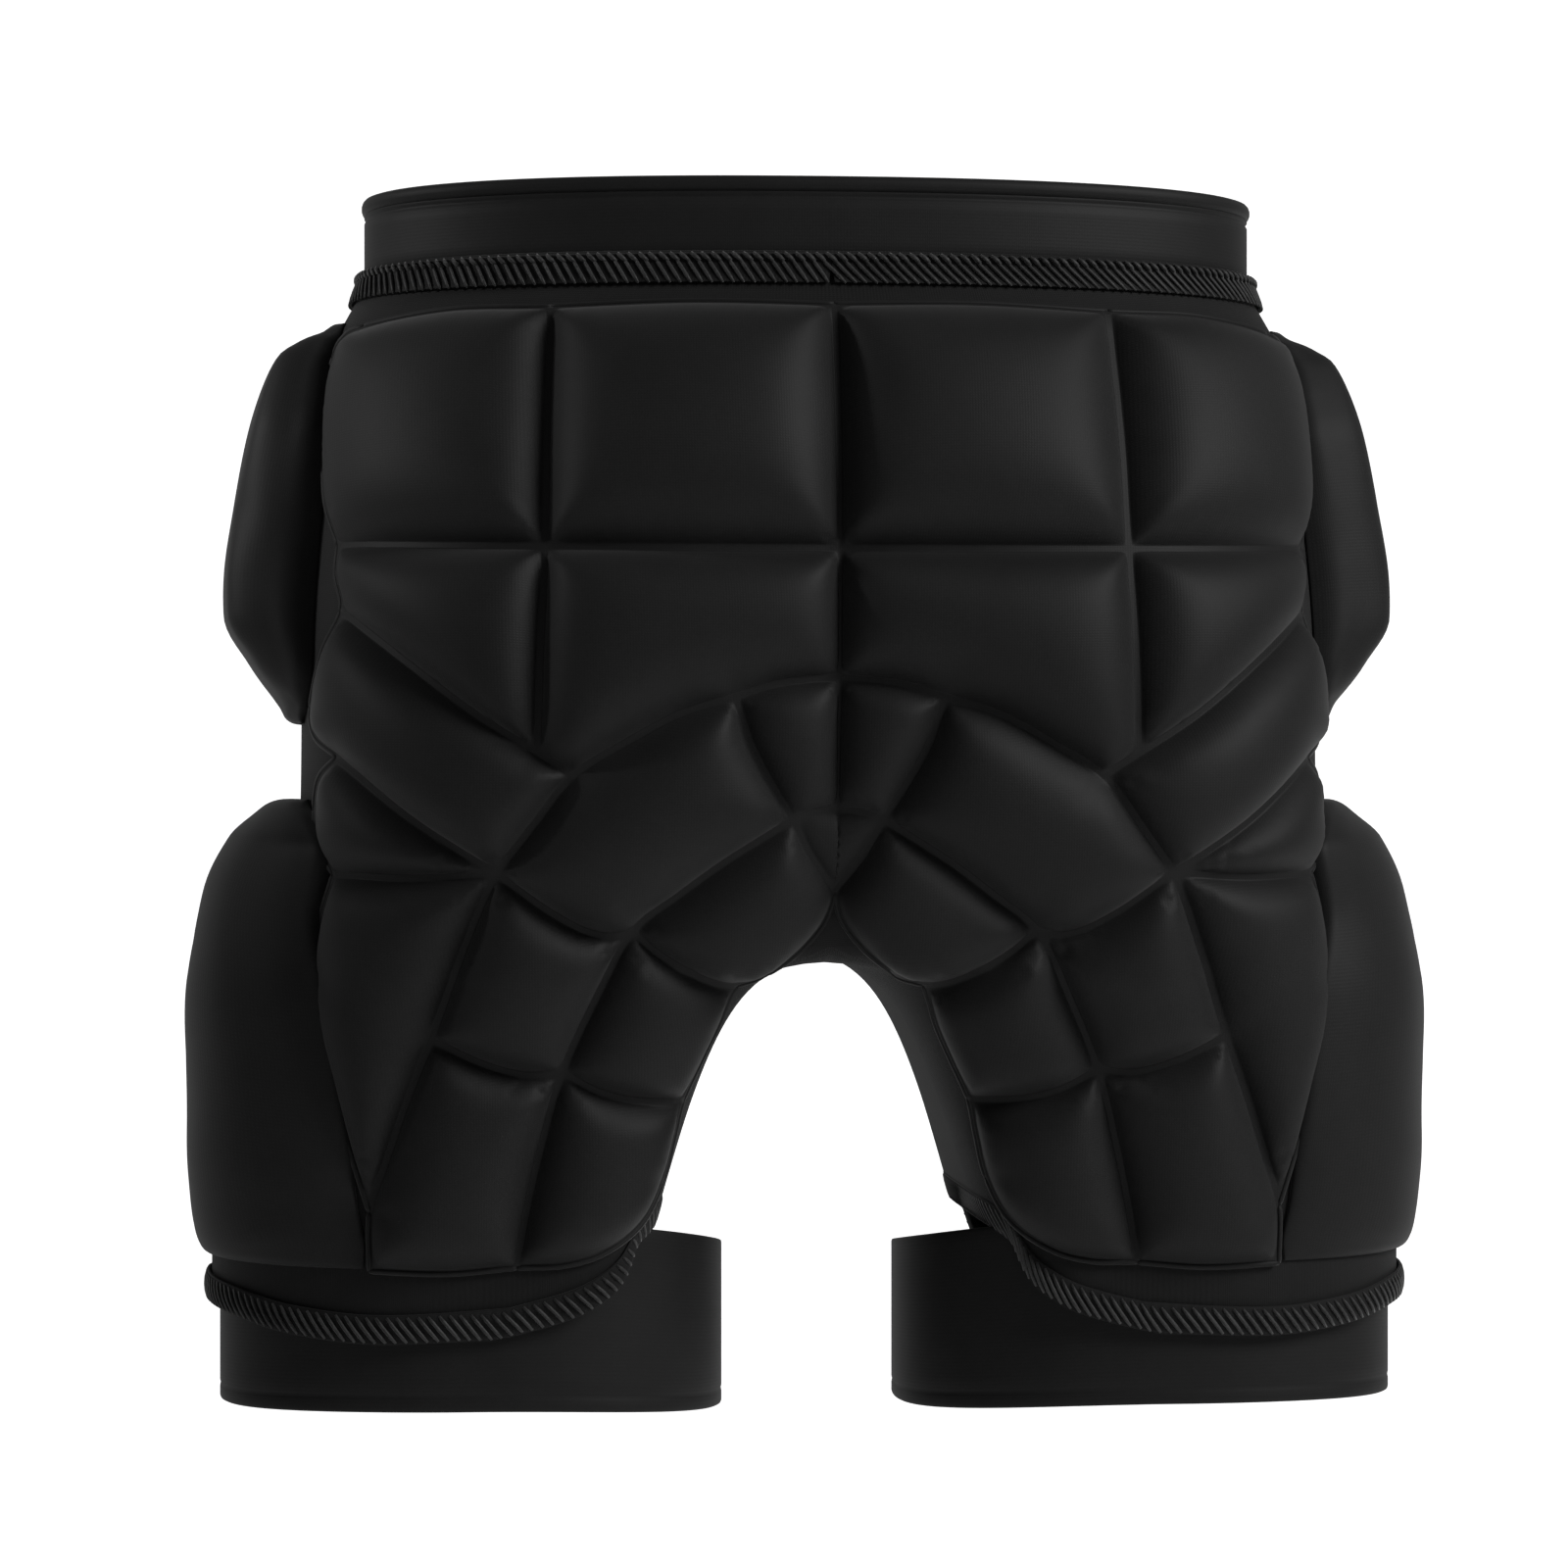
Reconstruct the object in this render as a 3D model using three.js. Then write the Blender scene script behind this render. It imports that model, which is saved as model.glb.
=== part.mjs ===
// Padded hip and thigh protector for sport: pull-on shorts in their worn form. The seat faces -Y, the
// wearer faces +Y, the right leg lies at +X and the origin is the centre of the waistband.
import * as THREE from "three";

// Waist sizes in millimetres
const WAIST_WIDTH = 324;
const WAIST_DEPTH = 178;
const BAND_HEIGHT = 27;
const BAND_WALL = 3;
const HEM_HEIGHT = 5;
const HEM_WALL = 4;
const STITCH_HEIGHT = 10.5;
const STITCH_WALL = 1.4;

// Body sizes in millimetres
const HIP_WIDTH = 369;
const SEAT_DEPTH = 124;
const BELLY_DEPTH = 105;
const RISE = 248;
const SHELL_WALL = 2;

// Leg sizes in millimetres
const LEG_LENGTH = 98;
const LEG_SPREAD = 434;
const THIGH_DEPTH = 160;
const ARCH_LONG = 36;
const ARCH_ROUND = 30;
const ARCH_TURN = 25;
const CLEFT_SLOPE = 0.35;
const CUFF_HEIGHT = 58;
const CUFF_WALL = 2.6;
const CUFF_REACH = 28;
const HEM_DROP = 34;

// Padding sizes in millimetres
const CELL_RISE = 14;
const GROOVE = 3.4;
const EDGE_INSET = 6;
const CROWN_INSET = 17;
const EDGE_LIMIT = 0.34;
const CROWN_LIMIT = 0.72;
const SPINE_SHARE = 0.8;
const SEAM_STEP = 12;
const HIP_PAD_RISE = 29.5;
const THIGH_PAD_RISE = 29;
const PAD_EDGE = 3;

// Clearances between neighbours in millimetres
const GAP = 0.3;
const LAY = 0.95;
const UNDERCUT = 5.5;
const CUFF_EASE = 0.9;

// Fineness of the rings
const TORSO_STEPS = 22;
const INNER_STEPS = 8;
const ROUNDNESS = 2.3;

const WAIST_HALF = WAIST_WIDTH / 2;
const WAIST_REACH = WAIST_DEPTH / 2;
const HIP_HALF = HIP_WIDTH / 2;
const LEG_HALF = LEG_SPREAD / 2;
const THIGH_REACH = THIGH_DEPTH / 2;
const BAND_TOP = BAND_HEIGHT / 2;
const BAND_FOOT = -BAND_HEIGHT / 2;
const SHELL_TOP = BAND_FOOT - GAP;
const CROTCH = BAND_FOOT - RISE;
const CUFF_TOP = CROTCH - LEG_LENGTH;
const CUFF_FOOT = CUFF_TOP - CUFF_HEIGHT;
const CROTCH_RING = CROTCH + 0.028 * RISE;

const fabric = (color) => new THREE.MeshStandardMaterial({ color, roughness: 0.8, metalness: 0 });
const KNIT = fabric(0x232323);
const PADDING = fabric(0x2b2b2b);
const ELASTIC = fabric(0x1e1e1e);
const THREAD = fabric(0x4a4a4a);

// Body sections from the waistband's foot down. A drop runs from 0 at the foot of the waistband to 1 at
// the crotch and 2 at the cuff's top. Crown is where a half section is deepest, as a share of its outer
// half width, and square is the power of its curve from the crown to the inner thigh.
const SEAT = SEAT_DEPTH;
const BELLY = BELLY_DEPTH;
const sections = [
  { drop: 0, outer: WAIST_HALF, crown: 0, back: WAIST_REACH, front: WAIST_REACH, square: 2.3 },
  { drop: 0.11, outer: 0.94 * HIP_HALF, crown: 0.03, back: 0.83 * SEAT, front: 0.93 * BELLY, square: 2.3 },
  { drop: 0.33, outer: 0.98 * HIP_HALF, crown: 0.17, back: 0.96 * SEAT, front: 0.98 * BELLY, square: 2.4 },
  { drop: 0.55, outer: HIP_HALF, crown: 0.34, back: SEAT, front: BELLY, square: 2.5 },
  { drop: 0.77, outer: 1.003 * HIP_HALF, crown: 0.45, back: 0.96 * SEAT, front: 0.96 * BELLY, square: 3 },
  { drop: 1, outer: 0.905 * LEG_HALF, crown: 0.5, back: 0.82 * SEAT, front: 0.88 * BELLY, square: 4 },
  { drop: 1.49, outer: 0.95 * LEG_HALF, crown: 0.58, back: 1.1 * THIGH_REACH, front: 1.05 * THIGH_REACH, square: 4.4 },
  { drop: 1.97, outer: LEG_HALF, crown: 0.6, back: 1.01 * THIGH_REACH, front: THIGH_REACH, square: 6 },
  { drop: 2.6, outer: LEG_HALF, crown: 0.6, back: THIGH_REACH, front: THIGH_REACH, square: 6 },
];

const heightOf = (drop) => (drop < 1 ? BAND_FOOT - drop * RISE : CROTCH - (drop - 1) * LEG_LENGTH);
const dropOf = (z) => (z > CROTCH ? (BAND_FOOT - z) / RISE : 1 + (CROTCH - z) / LEG_LENGTH);

// One column of the table at a height, on a smooth curve that never overshoots its rows
function column(name, drop) {
  const last = sections.length - 1;
  let row = 0;
  while (row < last - 1 && drop > sections[row + 1].drop) row += 1;
  const slope = (a, b) => (sections[b][name] - sections[a][name]) / (sections[b].drop - sections[a].drop);
  const tangent = (i) => {
    if (i === 0 || i === last) return 0;
    const before = slope(i - 1, i);
    const after = slope(i, i + 1);
    return before * after <= 0 ? 0 : (2 * before * after) / (before + after);
  };
  const span = sections[row + 1].drop - sections[row].drop;
  const t = THREE.MathUtils.clamp((drop - sections[row].drop) / span, 0, 1);
  const t2 = t * t;
  const t3 = t2 * t;
  return (2 * t3 - 3 * t2 + 1) * sections[row][name] + (t3 - 2 * t2 + t) * span * tangent(row)
    + (3 * t2 - 2 * t3) * sections[row + 1][name] + (t3 - t2) * span * tangent(row + 1);
}

// Half width of the arch between the legs, and above the crotch the hidden overlap of the two halves
function innerEdge(z) {
  const depth = Math.min(Math.abs(CROTCH - z), CROTCH - CUFF_TOP);
  const bow = Math.sqrt(depth * (ARCH_LONG + ARCH_ROUND * Math.exp(-depth / ARCH_TURN)));
  return z < CROTCH ? bow : -bow - CLEFT_SLOPE * (z - CROTCH);
}

// Section of the right half at a height, grown outward by a distance
function section(z, grow) {
  const drop = dropOf(z);
  const outer = column("outer", drop);
  return {
    outer: outer + grow,
    crown: column("crown", drop) * outer,
    inner: innerEdge(z + grow) - grow,
    back: column("back", drop) + grow,
    front: column("front", drop) + grow,
    square: column("square", drop),
  };
}

// Point of the right half at a turn: 0 at the outer side, a quarter turn at the back and -a quarter in front
function bodyPoint(turn, z, grow) {
  const s = section(z, grow);
  const along = Math.abs(Math.cos(turn));
  const across = Math.abs(Math.sin(turn));
  const outside = Math.abs(turn) <= Math.PI / 2;
  const power = 2 / (outside ? ROUNDNESS : s.square);
  const reach = outside ? s.outer - s.crown : s.inner - s.crown;
  const depth = turn > 0 ? -s.back : s.front;
  return new THREE.Vector3(s.crown + reach * along ** power, depth * across ** power, z);
}

// Turn at which the right half meets the centre plane
function centreTurn(z, grow) {
  const s = section(z, grow);
  const share = THREE.MathUtils.clamp(s.crown / (s.crown - s.inner), 0, 1);
  return Math.PI - Math.acos(share ** (s.square / 2));
}

const mirrored = (point) => new THREE.Vector3(-point.x, point.y, point.z);

// Collects triangles that face outward and makes one mesh of them
class Skin {
  constructor() {
    this.corners = [];
  }

  triangle(a, b, c) {
    if (a.distanceTo(b) > 1e-3 && b.distanceTo(c) > 1e-3 && c.distanceTo(a) > 1e-3) this.corners.push(a, b, c);
  }

  quad(a, b, c, d) {
    this.triangle(a, b, c);
    this.triangle(a, c, d);
  }

  // Rows of points, each row below the last, seen from outside with the row running to the right
  grid(rows, flip) {
    for (let r = 0; r + 1 < rows.length; r += 1) {
      for (let i = 0; i + 1 < rows[r].length; i += 1) {
        const quad = [rows[r][i], rows[r + 1][i], rows[r + 1][i + 1], rows[r][i + 1]];
        this.quad(...(flip ? quad.reverse() : quad));
      }
    }
  }

  mesh(name, material) {
    const geometry = new THREE.BufferGeometry().setFromPoints(this.corners);
    geometry.computeVertexNormals();
    const mesh = new THREE.Mesh(geometry, material);
    mesh.name = name;
    return mesh;
  }
}

const closed = (row) => [...row, row[0]];

// Ring round both halves of the torso, from the back centre over the right side
function torsoHalf(z, grow) {
  const limit = centreTurn(z, grow);
  const row = [];
  for (let i = 0; i <= TORSO_STEPS; i += 1) row.push(bodyPoint(limit * (1 - (2 * i) / TORSO_STEPS), z, grow));
  row[0].x = 0;
  row[TORSO_STEPS].x = 0;
  return row;
}

function torsoRing(z, grow) {
  const half = torsoHalf(z, grow);
  return [...half, ...half.slice(1, -1).reverse().map(mirrored)];
}

// Corners of a band's cross-section, whose outer face lies out from the body
const bandProfile = (top, foot, out, wall) => [
  { z: top, grow: out - wall },
  { z: top, grow: out },
  { z: foot, grow: out },
  { z: foot, grow: out - wall },
];

// Closed band round the waist
function waistRing(name, material, profile) {
  const skin = new Skin();
  skin.grid(closed(profile.map(({ z, grow }) => closed(torsoRing(z, grow)))), false);
  return skin.mesh(name, material);
}

// Turns of a ring round one leg: the outer stretch lies under the torso, the inner one under the crotch
const SPLIT = centreTurn(CROTCH_RING, 0);
function legTurns() {
  const turns = [];
  for (let i = 0; i <= TORSO_STEPS; i += 1) turns.push(SPLIT * (1 - (2 * i) / TORSO_STEPS));
  for (let i = 1; i < INNER_STEPS; i += 1) {
    const turn = SPLIT + ((Math.PI - SPLIT) * 2 * i) / INNER_STEPS;
    turns.push(i * 2 <= INNER_STEPS ? -turn : 2 * Math.PI - turn);
  }
  return turns;
}

// Height of the leg's hem at a turn: it hangs over the cuff behind, outside and in front
const hemShares = [
  { turn: 0, share: 0.72 },
  { turn: 0.15, share: 0.78 },
  { turn: 0.3, share: 0.93 },
  { turn: 0.42, share: 1 },
  { turn: 0.51, share: 0.88 },
  { turn: 0.58, share: 0.7 },
  { turn: 0.69, share: 0.4 },
  { turn: 0.78, share: 0.02 },
  { turn: 0.9, share: -0.1 },
  { turn: 1, share: -0.12 },
];
function hemHeight(turn) {
  const at = Math.abs(turn) / Math.PI;
  let row = 0;
  while (row < hemShares.length - 2 && at > hemShares[row + 1].turn) row += 1;
  const t = (at - hemShares[row].turn) / (hemShares[row + 1].turn - hemShares[row].turn);
  const share = THREE.MathUtils.lerp(hemShares[row].share, hemShares[row + 1].share, t);
  return CUFF_TOP - share * HEM_DROP;
}

// Line across the crotch in the centre plane, where the two legs meet
function crotchPoint(turn, grow) {
  let high = CROTCH_RING;
  let low = CROTCH - 2 * SHELL_WALL;
  for (let step = 0; step < 40; step += 1) {
    const middle = (high + low) / 2;
    if (bodyPoint(turn, middle, grow).x < 0) high = middle;
    else low = middle;
  }
  const point = bodyPoint(turn, high, grow);
  point.x = 0;
  return point;
}

const legDrops = [1.019, 1.072, 1.175, 1.35, 1.57, 1.84];
const HEM_ROWS = [0.5, 1];

// Rings of one leg from the crotch to the hem
function legRows(grow) {
  const turns = legTurns();
  const saddle = turns.slice(TORSO_STEPS + 1).map((turn) => crotchPoint(turn, grow));
  const rows = [[...torsoHalf(CROTCH_RING, grow), ...saddle]];
  for (const drop of legDrops) rows.push(turns.map((turn) => bodyPoint(turn, heightOf(drop), grow)));
  const start = heightOf(legDrops[legDrops.length - 1]);
  for (const share of HEM_ROWS) {
    rows.push(turns.map((turn) => bodyPoint(turn, start + share * (hemHeight(turn) - start), grow)));
  }
  return rows.map(closed);
}

const torsoDrops = [0, 0.045, 0.12, 0.25, 0.4, 0.56, 0.7, 0.8, 0.88, 0.94];

// Stretch shell of the shorts, open at the waist and at both legs
function makeShell() {
  const skin = new Skin();
  const heights = [SHELL_TOP, ...torsoDrops.slice(1).map(heightOf), CROTCH_RING];
  const faces = [0, -SHELL_WALL].map((grow) => ({
    torso: heights.map((z) => torsoHalf(z, grow)),
    leg: legRows(grow),
  }));
  const mirrorRows = (rows) => rows.map((row) => row.map(mirrored));
  faces.forEach(({ torso, leg }, inside) => {
    for (const rows of [torso, leg]) {
      skin.grid(rows, inside === 1);
      skin.grid(mirrorRows(rows), inside === 0);
    }
  });
  const waistRim = [faces[1].torso[0], faces[0].torso[0]];
  const hemRim = [faces[0].leg.at(-1), faces[1].leg.at(-1)];
  for (const rim of [waistRim, hemRim]) {
    skin.grid(rim, false);
    skin.grid(mirrorRows(rim), true);
  }
  return skin.mesh("shell", KNIT);
}

// Junctions of the seat padding's seams. Across runs from 0 at the centre line or the arch to 1 at the
// body's outer side; drop is as in the sections.
const junctions = {
  topCentre: { across: 0, drop: 0.086 },
  topMiddle: { across: 0.572, drop: 0.082 },
  topSide: { across: 0.935, drop: 0.092 },
  sideUpper: { across: 0.968, drop: 0.14 },
  rowCentre: { across: 0, drop: 0.426 },
  rowMiddle: { across: 0.543, drop: 0.427 },
  rowSide: { across: 0.93, drop: 0.415 },
  barTop: { across: 0.912, drop: 0.503 },
  barSide: { across: 0.96, drop: 0.634 },
  barFoot: { across: 0.912, drop: 0.712 },
  barMiddle: { across: 0.543, drop: 0.697 },
  arcEnd: { across: 0.487, drop: 0.731 },
  arcCentre: { across: 0, drop: 0.598 },
  arcMiddle: { across: 0.193, drop: 0.638 },
  shieldTop: { across: 0, drop: 0.784 },
  shieldSide: { across: 0.088, drop: 0.795 },
  shieldFoot: { across: 0, drop: 0.888 },
  fanHub: { across: 0.598, drop: 0.861 },
  wedgeSide: { across: 0.945, drop: 0.785 },
  wedgeFoot: { across: 0.9, drop: 0.87 },
  tailSide: { across: 0.885, drop: 1.032 },
  tailWaist: { across: 0.79, drop: 1.414 },
  tailEnd: { across: 0.68, drop: 1.78 },
  bandFoot: { across: 0.355, drop: 0.942 },
  archInner: { across: 0.125, drop: 1.013 },
  thighHub: { across: 0.625, drop: 1.239 },
  thighMiddle: { across: 0.322, drop: 1.363 },
  thighInner: { across: 0.1, drop: 1.47 },
  footSide: { across: 0.635, drop: 2.065 },
  footMiddle: { across: 0.335, drop: 2.07 },
  footInner: { across: 0.1, drop: 1.9 },
};

// Seams that bow to the left of their way from one junction to the next, as a share of their length
const bows = {
  "topCentre topMiddle": -0.012,
  "topMiddle topSide": -0.02,
  "sideUpper rowSide": -0.03,
  "barTop barMiddle": 0.045,
  "arcCentre arcMiddle": -0.02,
  "arcMiddle arcEnd": -0.03,
  "barTop barSide": -0.06,
  "barSide barFoot": -0.1,
  "barFoot wedgeSide": -0.08,
  "wedgeSide wedgeFoot": -0.06,
  "shieldSide shieldFoot": -0.08,
  "arcMiddle shieldSide": -0.03,
  "fanHub bandFoot": -0.12,
  "wedgeFoot tailSide": -0.05,
  "tailSide tailWaist": -0.04,
  "fanHub thighHub": -0.04,
  "thighHub tailEnd": -0.05,
  "bandFoot archInner": 0.16,
  "shieldFoot archInner": 0.1,
  "bandFoot thighMiddle": -0.04,
  "thighHub thighMiddle": -0.07,
  "thighMiddle thighInner": -0.06,
  "archInner thighInner": 0.05,
  "thighInner footInner": 0.08,
  "footInner footMiddle": 0.2,
  "thighMiddle footMiddle": -0.02,
};

// Foam cells of the right half, each with its corners and its rise as a share of the full one
const cells = [
  { rise: 1, corners: ["topCentre", "topMiddle", "rowMiddle", "rowCentre"] },
  { rise: 1, corners: ["topMiddle", "topSide", "sideUpper", "rowSide", "rowMiddle"] },
  { rise: 1, corners: ["rowCentre", "rowMiddle", "barMiddle", "arcEnd", "arcMiddle", "arcCentre"] },
  { rise: 0.9, corners: ["rowMiddle", "rowSide", "barTop", "barMiddle"] },
  { rise: 1, corners: ["barTop", "barSide", "barFoot", "fanHub", "arcEnd", "barMiddle"] },
  { rise: 0.8, corners: ["barFoot", "wedgeSide", "wedgeFoot", "fanHub"] },
  { rise: 0.7, corners: ["arcCentre", "arcMiddle", "shieldSide", "shieldTop"] },
  { rise: 1, corners: ["arcMiddle", "arcEnd", "fanHub", "bandFoot", "shieldSide"] },
  { rise: 0.9, corners: ["shieldSide", "bandFoot", "archInner", "shieldFoot"] },
  { rise: 1, corners: ["fanHub", "thighHub", "thighMiddle", "bandFoot"] },
  { rise: 0.9, corners: ["bandFoot", "thighMiddle", "thighInner", "archInner"] },
  { rise: 0.95, corners: ["fanHub", "wedgeFoot", "tailSide", "tailWaist", "tailEnd", "thighHub"] },
  { rise: 1, corners: ["thighMiddle", "thighHub", "tailEnd", "footSide", "footMiddle"] },
  { rise: 0.95, corners: ["thighInner", "thighMiddle", "footMiddle", "footInner"] },
];
const SHIELD_RISE = 0.4;

function junctionPoint(name) {
  const { across, drop } = junctions[name];
  const z = heightOf(drop);
  const start = Math.max(0, innerEdge(z));
  return new THREE.Vector2(start + across * (section(z, 0).outer - start), z);
}

// Points along a seam, without its last one; both cells beside a seam get the same points
function seamPoints(from, to) {
  const forward = from < to;
  const start = junctionPoint(forward ? from : to);
  const end = junctionPoint(forward ? to : from);
  const bow = (bows[`${from} ${to}`] ?? -(bows[`${to} ${from}`] ?? 0)) * (forward ? 1 : -1);
  const way = end.clone().sub(start);
  const side = new THREE.Vector2(-way.y, way.x).multiplyScalar(bow * 4);
  const count = Math.max(1, Math.round(way.length() / SEAM_STEP));
  const points = [];
  for (let i = 0; i <= count; i += 1) {
    const t = i / count;
    points.push(start.clone().addScaledVector(way, t).addScaledVector(side, t * (1 - t)));
  }
  if (!forward) points.reverse();
  return points.slice(0, -1);
}

const outline = (corners) => corners.flatMap((name, i) => seamPoints(name, corners[(i + 1) % corners.length]));

// Depth of the seat's surface, its outward direction, and a point raised from it
function seatPoint({ x, y: z }, rise) {
  const surface = (px, pz) => {
    const s = section(pz, 0);
    const side = Math.abs(px);
    const outside = side >= s.crown;
    const share = outside ? (side - s.crown) / (s.outer - s.crown) : (s.crown - side) / (s.crown - s.inner);
    const power = outside ? ROUNDNESS : s.square;
    return -s.back * (1 - Math.min(share, 0.999) ** power) ** (1 / power);
  };
  const step = 0.5;
  const acrossSlope = (surface(x + step, z) - surface(x - step, z)) / (2 * step);
  const downSlope = (surface(x, z + step) - surface(x, z - step)) / (2 * step);
  const normal = new THREE.Vector3(acrossSlope, -1, downSlope).normalize();
  return new THREE.Vector3(x, surface(x, z), z).addScaledVector(normal, rise);
}

// Middle line of a cell, along its longer way
function cellSpine(points) {
  const centre = points.reduce((sum, p) => sum.add(p), new THREE.Vector2()).divideScalar(points.length);
  let xx = 0;
  let xy = 0;
  let yy = 0;
  for (const p of points) {
    xx += (p.x - centre.x) ** 2;
    xy += (p.x - centre.x) * (p.y - centre.y);
    yy += (p.y - centre.y) ** 2;
  }
  const angle = Math.atan2(2 * xy, xx - yy) / 2;
  const along = new THREE.Vector2(Math.cos(angle), Math.sin(angle));
  const across = new THREE.Vector2(-along.y, along.x);
  const spread = (direction) => Math.max(...points.map((p) => Math.abs(p.clone().sub(centre).dot(direction))));
  const half = Math.max(0, spread(along) - spread(across)) * SPINE_SHARE;
  const nearest = (p) => {
    const t = THREE.MathUtils.clamp(p.clone().sub(centre).dot(along), -half, half);
    return centre.clone().addScaledVector(along, t);
  };
  return { centre, nearest };
}

function insetRing(points, spine, distance, limit) {
  return points.map((p) => {
    const goal = spine.nearest(p);
    const share = Math.min(distance / p.distanceTo(goal), limit);
    return p.clone().lerp(goal, share);
  });
}

const turnOf = (a, b, c) => (b.x - a.x) * (c.y - a.y) - (b.y - a.y) * (c.x - a.x);

// Adds a flat ring's filling: a fan round its centre, or plain triangles where the ring is bent
function fill(skin, ring, centre, raise, flip) {
  const count = ring.length;
  const starShaped = ring.every((p, i) => turnOf(centre, p, ring[(i + 1) % count]) > 0);
  const faces = starShaped
    ? ring.map((p, i) => [centre, p, ring[(i + 1) % count]])
    : THREE.ShapeUtils.triangulateShape(ring, []).map((face) => face.map((i) => ring[i]));
  for (const face of faces) {
    const ordered = turnOf(...face) > 0 === !flip ? face : [...face].reverse();
    skin.triangle(...ordered.map(raise));
  }
}

// Distance from a point to the nearest side of an outline
function edgeDistance(point, points) {
  return Math.min(...points.map((start, i) => {
    const way = points[(i + 1) % points.length].clone().sub(start);
    const t = THREE.MathUtils.clamp(point.clone().sub(start).dot(way) / way.lengthSq(), 0, 1);
    return start.clone().addScaledVector(way, t).distanceTo(point);
  }));
}

// One foam cell: it rises from the groove in a quarter round and is nearly flat inside the crown inset
function addCell(skin, points, rise) {
  const spine = cellSpine(points);
  const edge = insetRing(points, spine, EDGE_INSET, EDGE_LIMIT);
  const crown = insetRing(points, spine, CROWN_INSET, CROWN_LIMIT);
  const raised = (p) => {
    const share = Math.min(1, edgeDistance(p, points) / CROWN_INSET);
    return seatPoint(p, GROOVE + rise * CELL_RISE * Math.sqrt(1 - (1 - share) ** 2));
  };
  skin.grid([points.map((p) => seatPoint(p, GROOVE)), edge.map(raised), crown.map(raised)].map(closed), true);
  fill(skin, crown, spine.centre, raised, false);
  const under = [
    points.map((p) => seatPoint(p, LAY)),
    crown.map((p) => seatPoint(p, UNDERCUT)),
  ];
  skin.grid(under.map(closed), false);
  fill(skin, crown, spine.centre, (p) => seatPoint(p, UNDERCUT), true);
}

// Seat and thigh padding: moulded foam cells in one piece, with grooves between them
function makeSeatPadding() {
  const skin = new Skin();
  const flipped = (points) => points.map((p) => new THREE.Vector2(-p.x, p.y)).reverse();
  const area = (points) => points.reduce((sum, p, i) => sum + p.cross(points[(i + 1) % points.length]), 0);
  const shapes = cells.flatMap(({ rise, corners }) => {
    const points = outline(corners);
    const ordered = area(points) > 0 ? points : [...points].reverse();
    return [{ rise, points: ordered }, { rise, points: flipped(ordered) }];
  });
  const shieldSide = [...seamPoints("shieldTop", "shieldSide"), ...seamPoints("shieldSide", "shieldFoot")];
  const foot = junctionPoint("shieldFoot");
  const shield = [...shieldSide, foot, ...flipped(shieldSide).slice(0, -1)];
  shapes.push({ rise: SHIELD_RISE, points: area(shield) > 0 ? shield : shield.reverse() });
  const label = (value) => (Math.round(value * 1000) || 0).toString();
  const key = (a, b) => [a.x, a.y, b.x, b.y].map(label).join(" ");
  const used = new Set();
  for (const { points } of shapes) points.forEach((p, i) => used.add(key(p, points[(i + 1) % points.length])));
  for (const { rise, points } of shapes) {
    addCell(skin, points, rise);
    points.forEach((p, i) => {
      const next = points[(i + 1) % points.length];
      if (used.has(key(next, p))) return;
      skin.quad(seatPoint(p, LAY), seatPoint(next, LAY), seatPoint(next, GROOVE), seatPoint(p, GROOVE));
    });
  }
  return skin.mesh("seat_padding", PADDING);
}

// Side pads: rows from their top to their foot, with the turns of the rear and front edge as shares of
// a quarter turn, and the rise as a share of the pad's full one. Top and foot are drops; steep and
// shoulder are the rise near the rear edge.
const HIP_PAD = { top: 0.098, foot: 0.658, rise: HIP_PAD_RISE, steep: 0.5, shoulder: 0.86 };
const THIGH_PAD = { top: 0.768, foot: 2.075, rise: THIGH_PAD_RISE, steep: 0.26, shoulder: 0.55 };
const hipRows = [
  { along: 0, rear: 0.1, front: 0.16, rise: 0 },
  { along: 0.04, rear: 0.12, front: 0.23, rise: 0.52 },
  { along: 0.12, rear: 0.15, front: 0.28, rise: 0.8 },
  { along: 0.26, rear: 0.185, front: 0.3, rise: 0.92 },
  { along: 0.45, rear: 0.185, front: 0.31, rise: 0.97 },
  { along: 0.62, rear: 0.19, front: 0.31, rise: 1 },
  { along: 0.72, rear: 0.195, front: 0.3, rise: 0.97 },
  { along: 0.84, rear: 0.2, front: 0.27, rise: 0.6 },
  { along: 0.95, rear: 0.17, front: 0.22, rise: 0.18 },
  { along: 1, rear: 0.12, front: 0.16, rise: 0 },
];
const thighRows = [
  { along: 0, rear: 0.16, front: 0.14, rise: 0 },
  { along: 0.045, rear: 0.26, front: 0.24, rise: 0.52 },
  { along: 0.11, rear: 0.345, front: 0.31, rise: 0.8 },
  { along: 0.24, rear: 0.37, front: 0.37, rise: 0.97 },
  { along: 0.42, rear: 0.49, front: 0.42, rise: 0.93 },
  { along: 0.6, rear: 0.615, front: 0.45, rise: 0.73 },
  { along: 0.76, rear: 0.72, front: 0.47, rise: 0.47 },
  { along: 0.88, rear: 0.765, front: 0.45, rise: 0.24 },
  { along: 0.96, rear: 0.775, front: 0.38, rise: 0.12 },
  { along: 1, rear: 0.72, front: 0.26, rise: 0 },
];
const padColumns = (steep, shoulder) => [
  { across: 0, rise: 0 },
  { across: 0.05, rise: steep },
  { across: 0.16, rise: shoulder },
  { across: 0.34, rise: 0.5 + 0.5 * shoulder ** 0.5 },
  { across: 0.52, rise: 1 },
  { across: 0.7, rise: 0.94 },
  { across: 0.86, rise: 0.76 },
  { across: 0.95, rise: 0.42 },
  { across: 1, rise: 0 },
];

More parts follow.
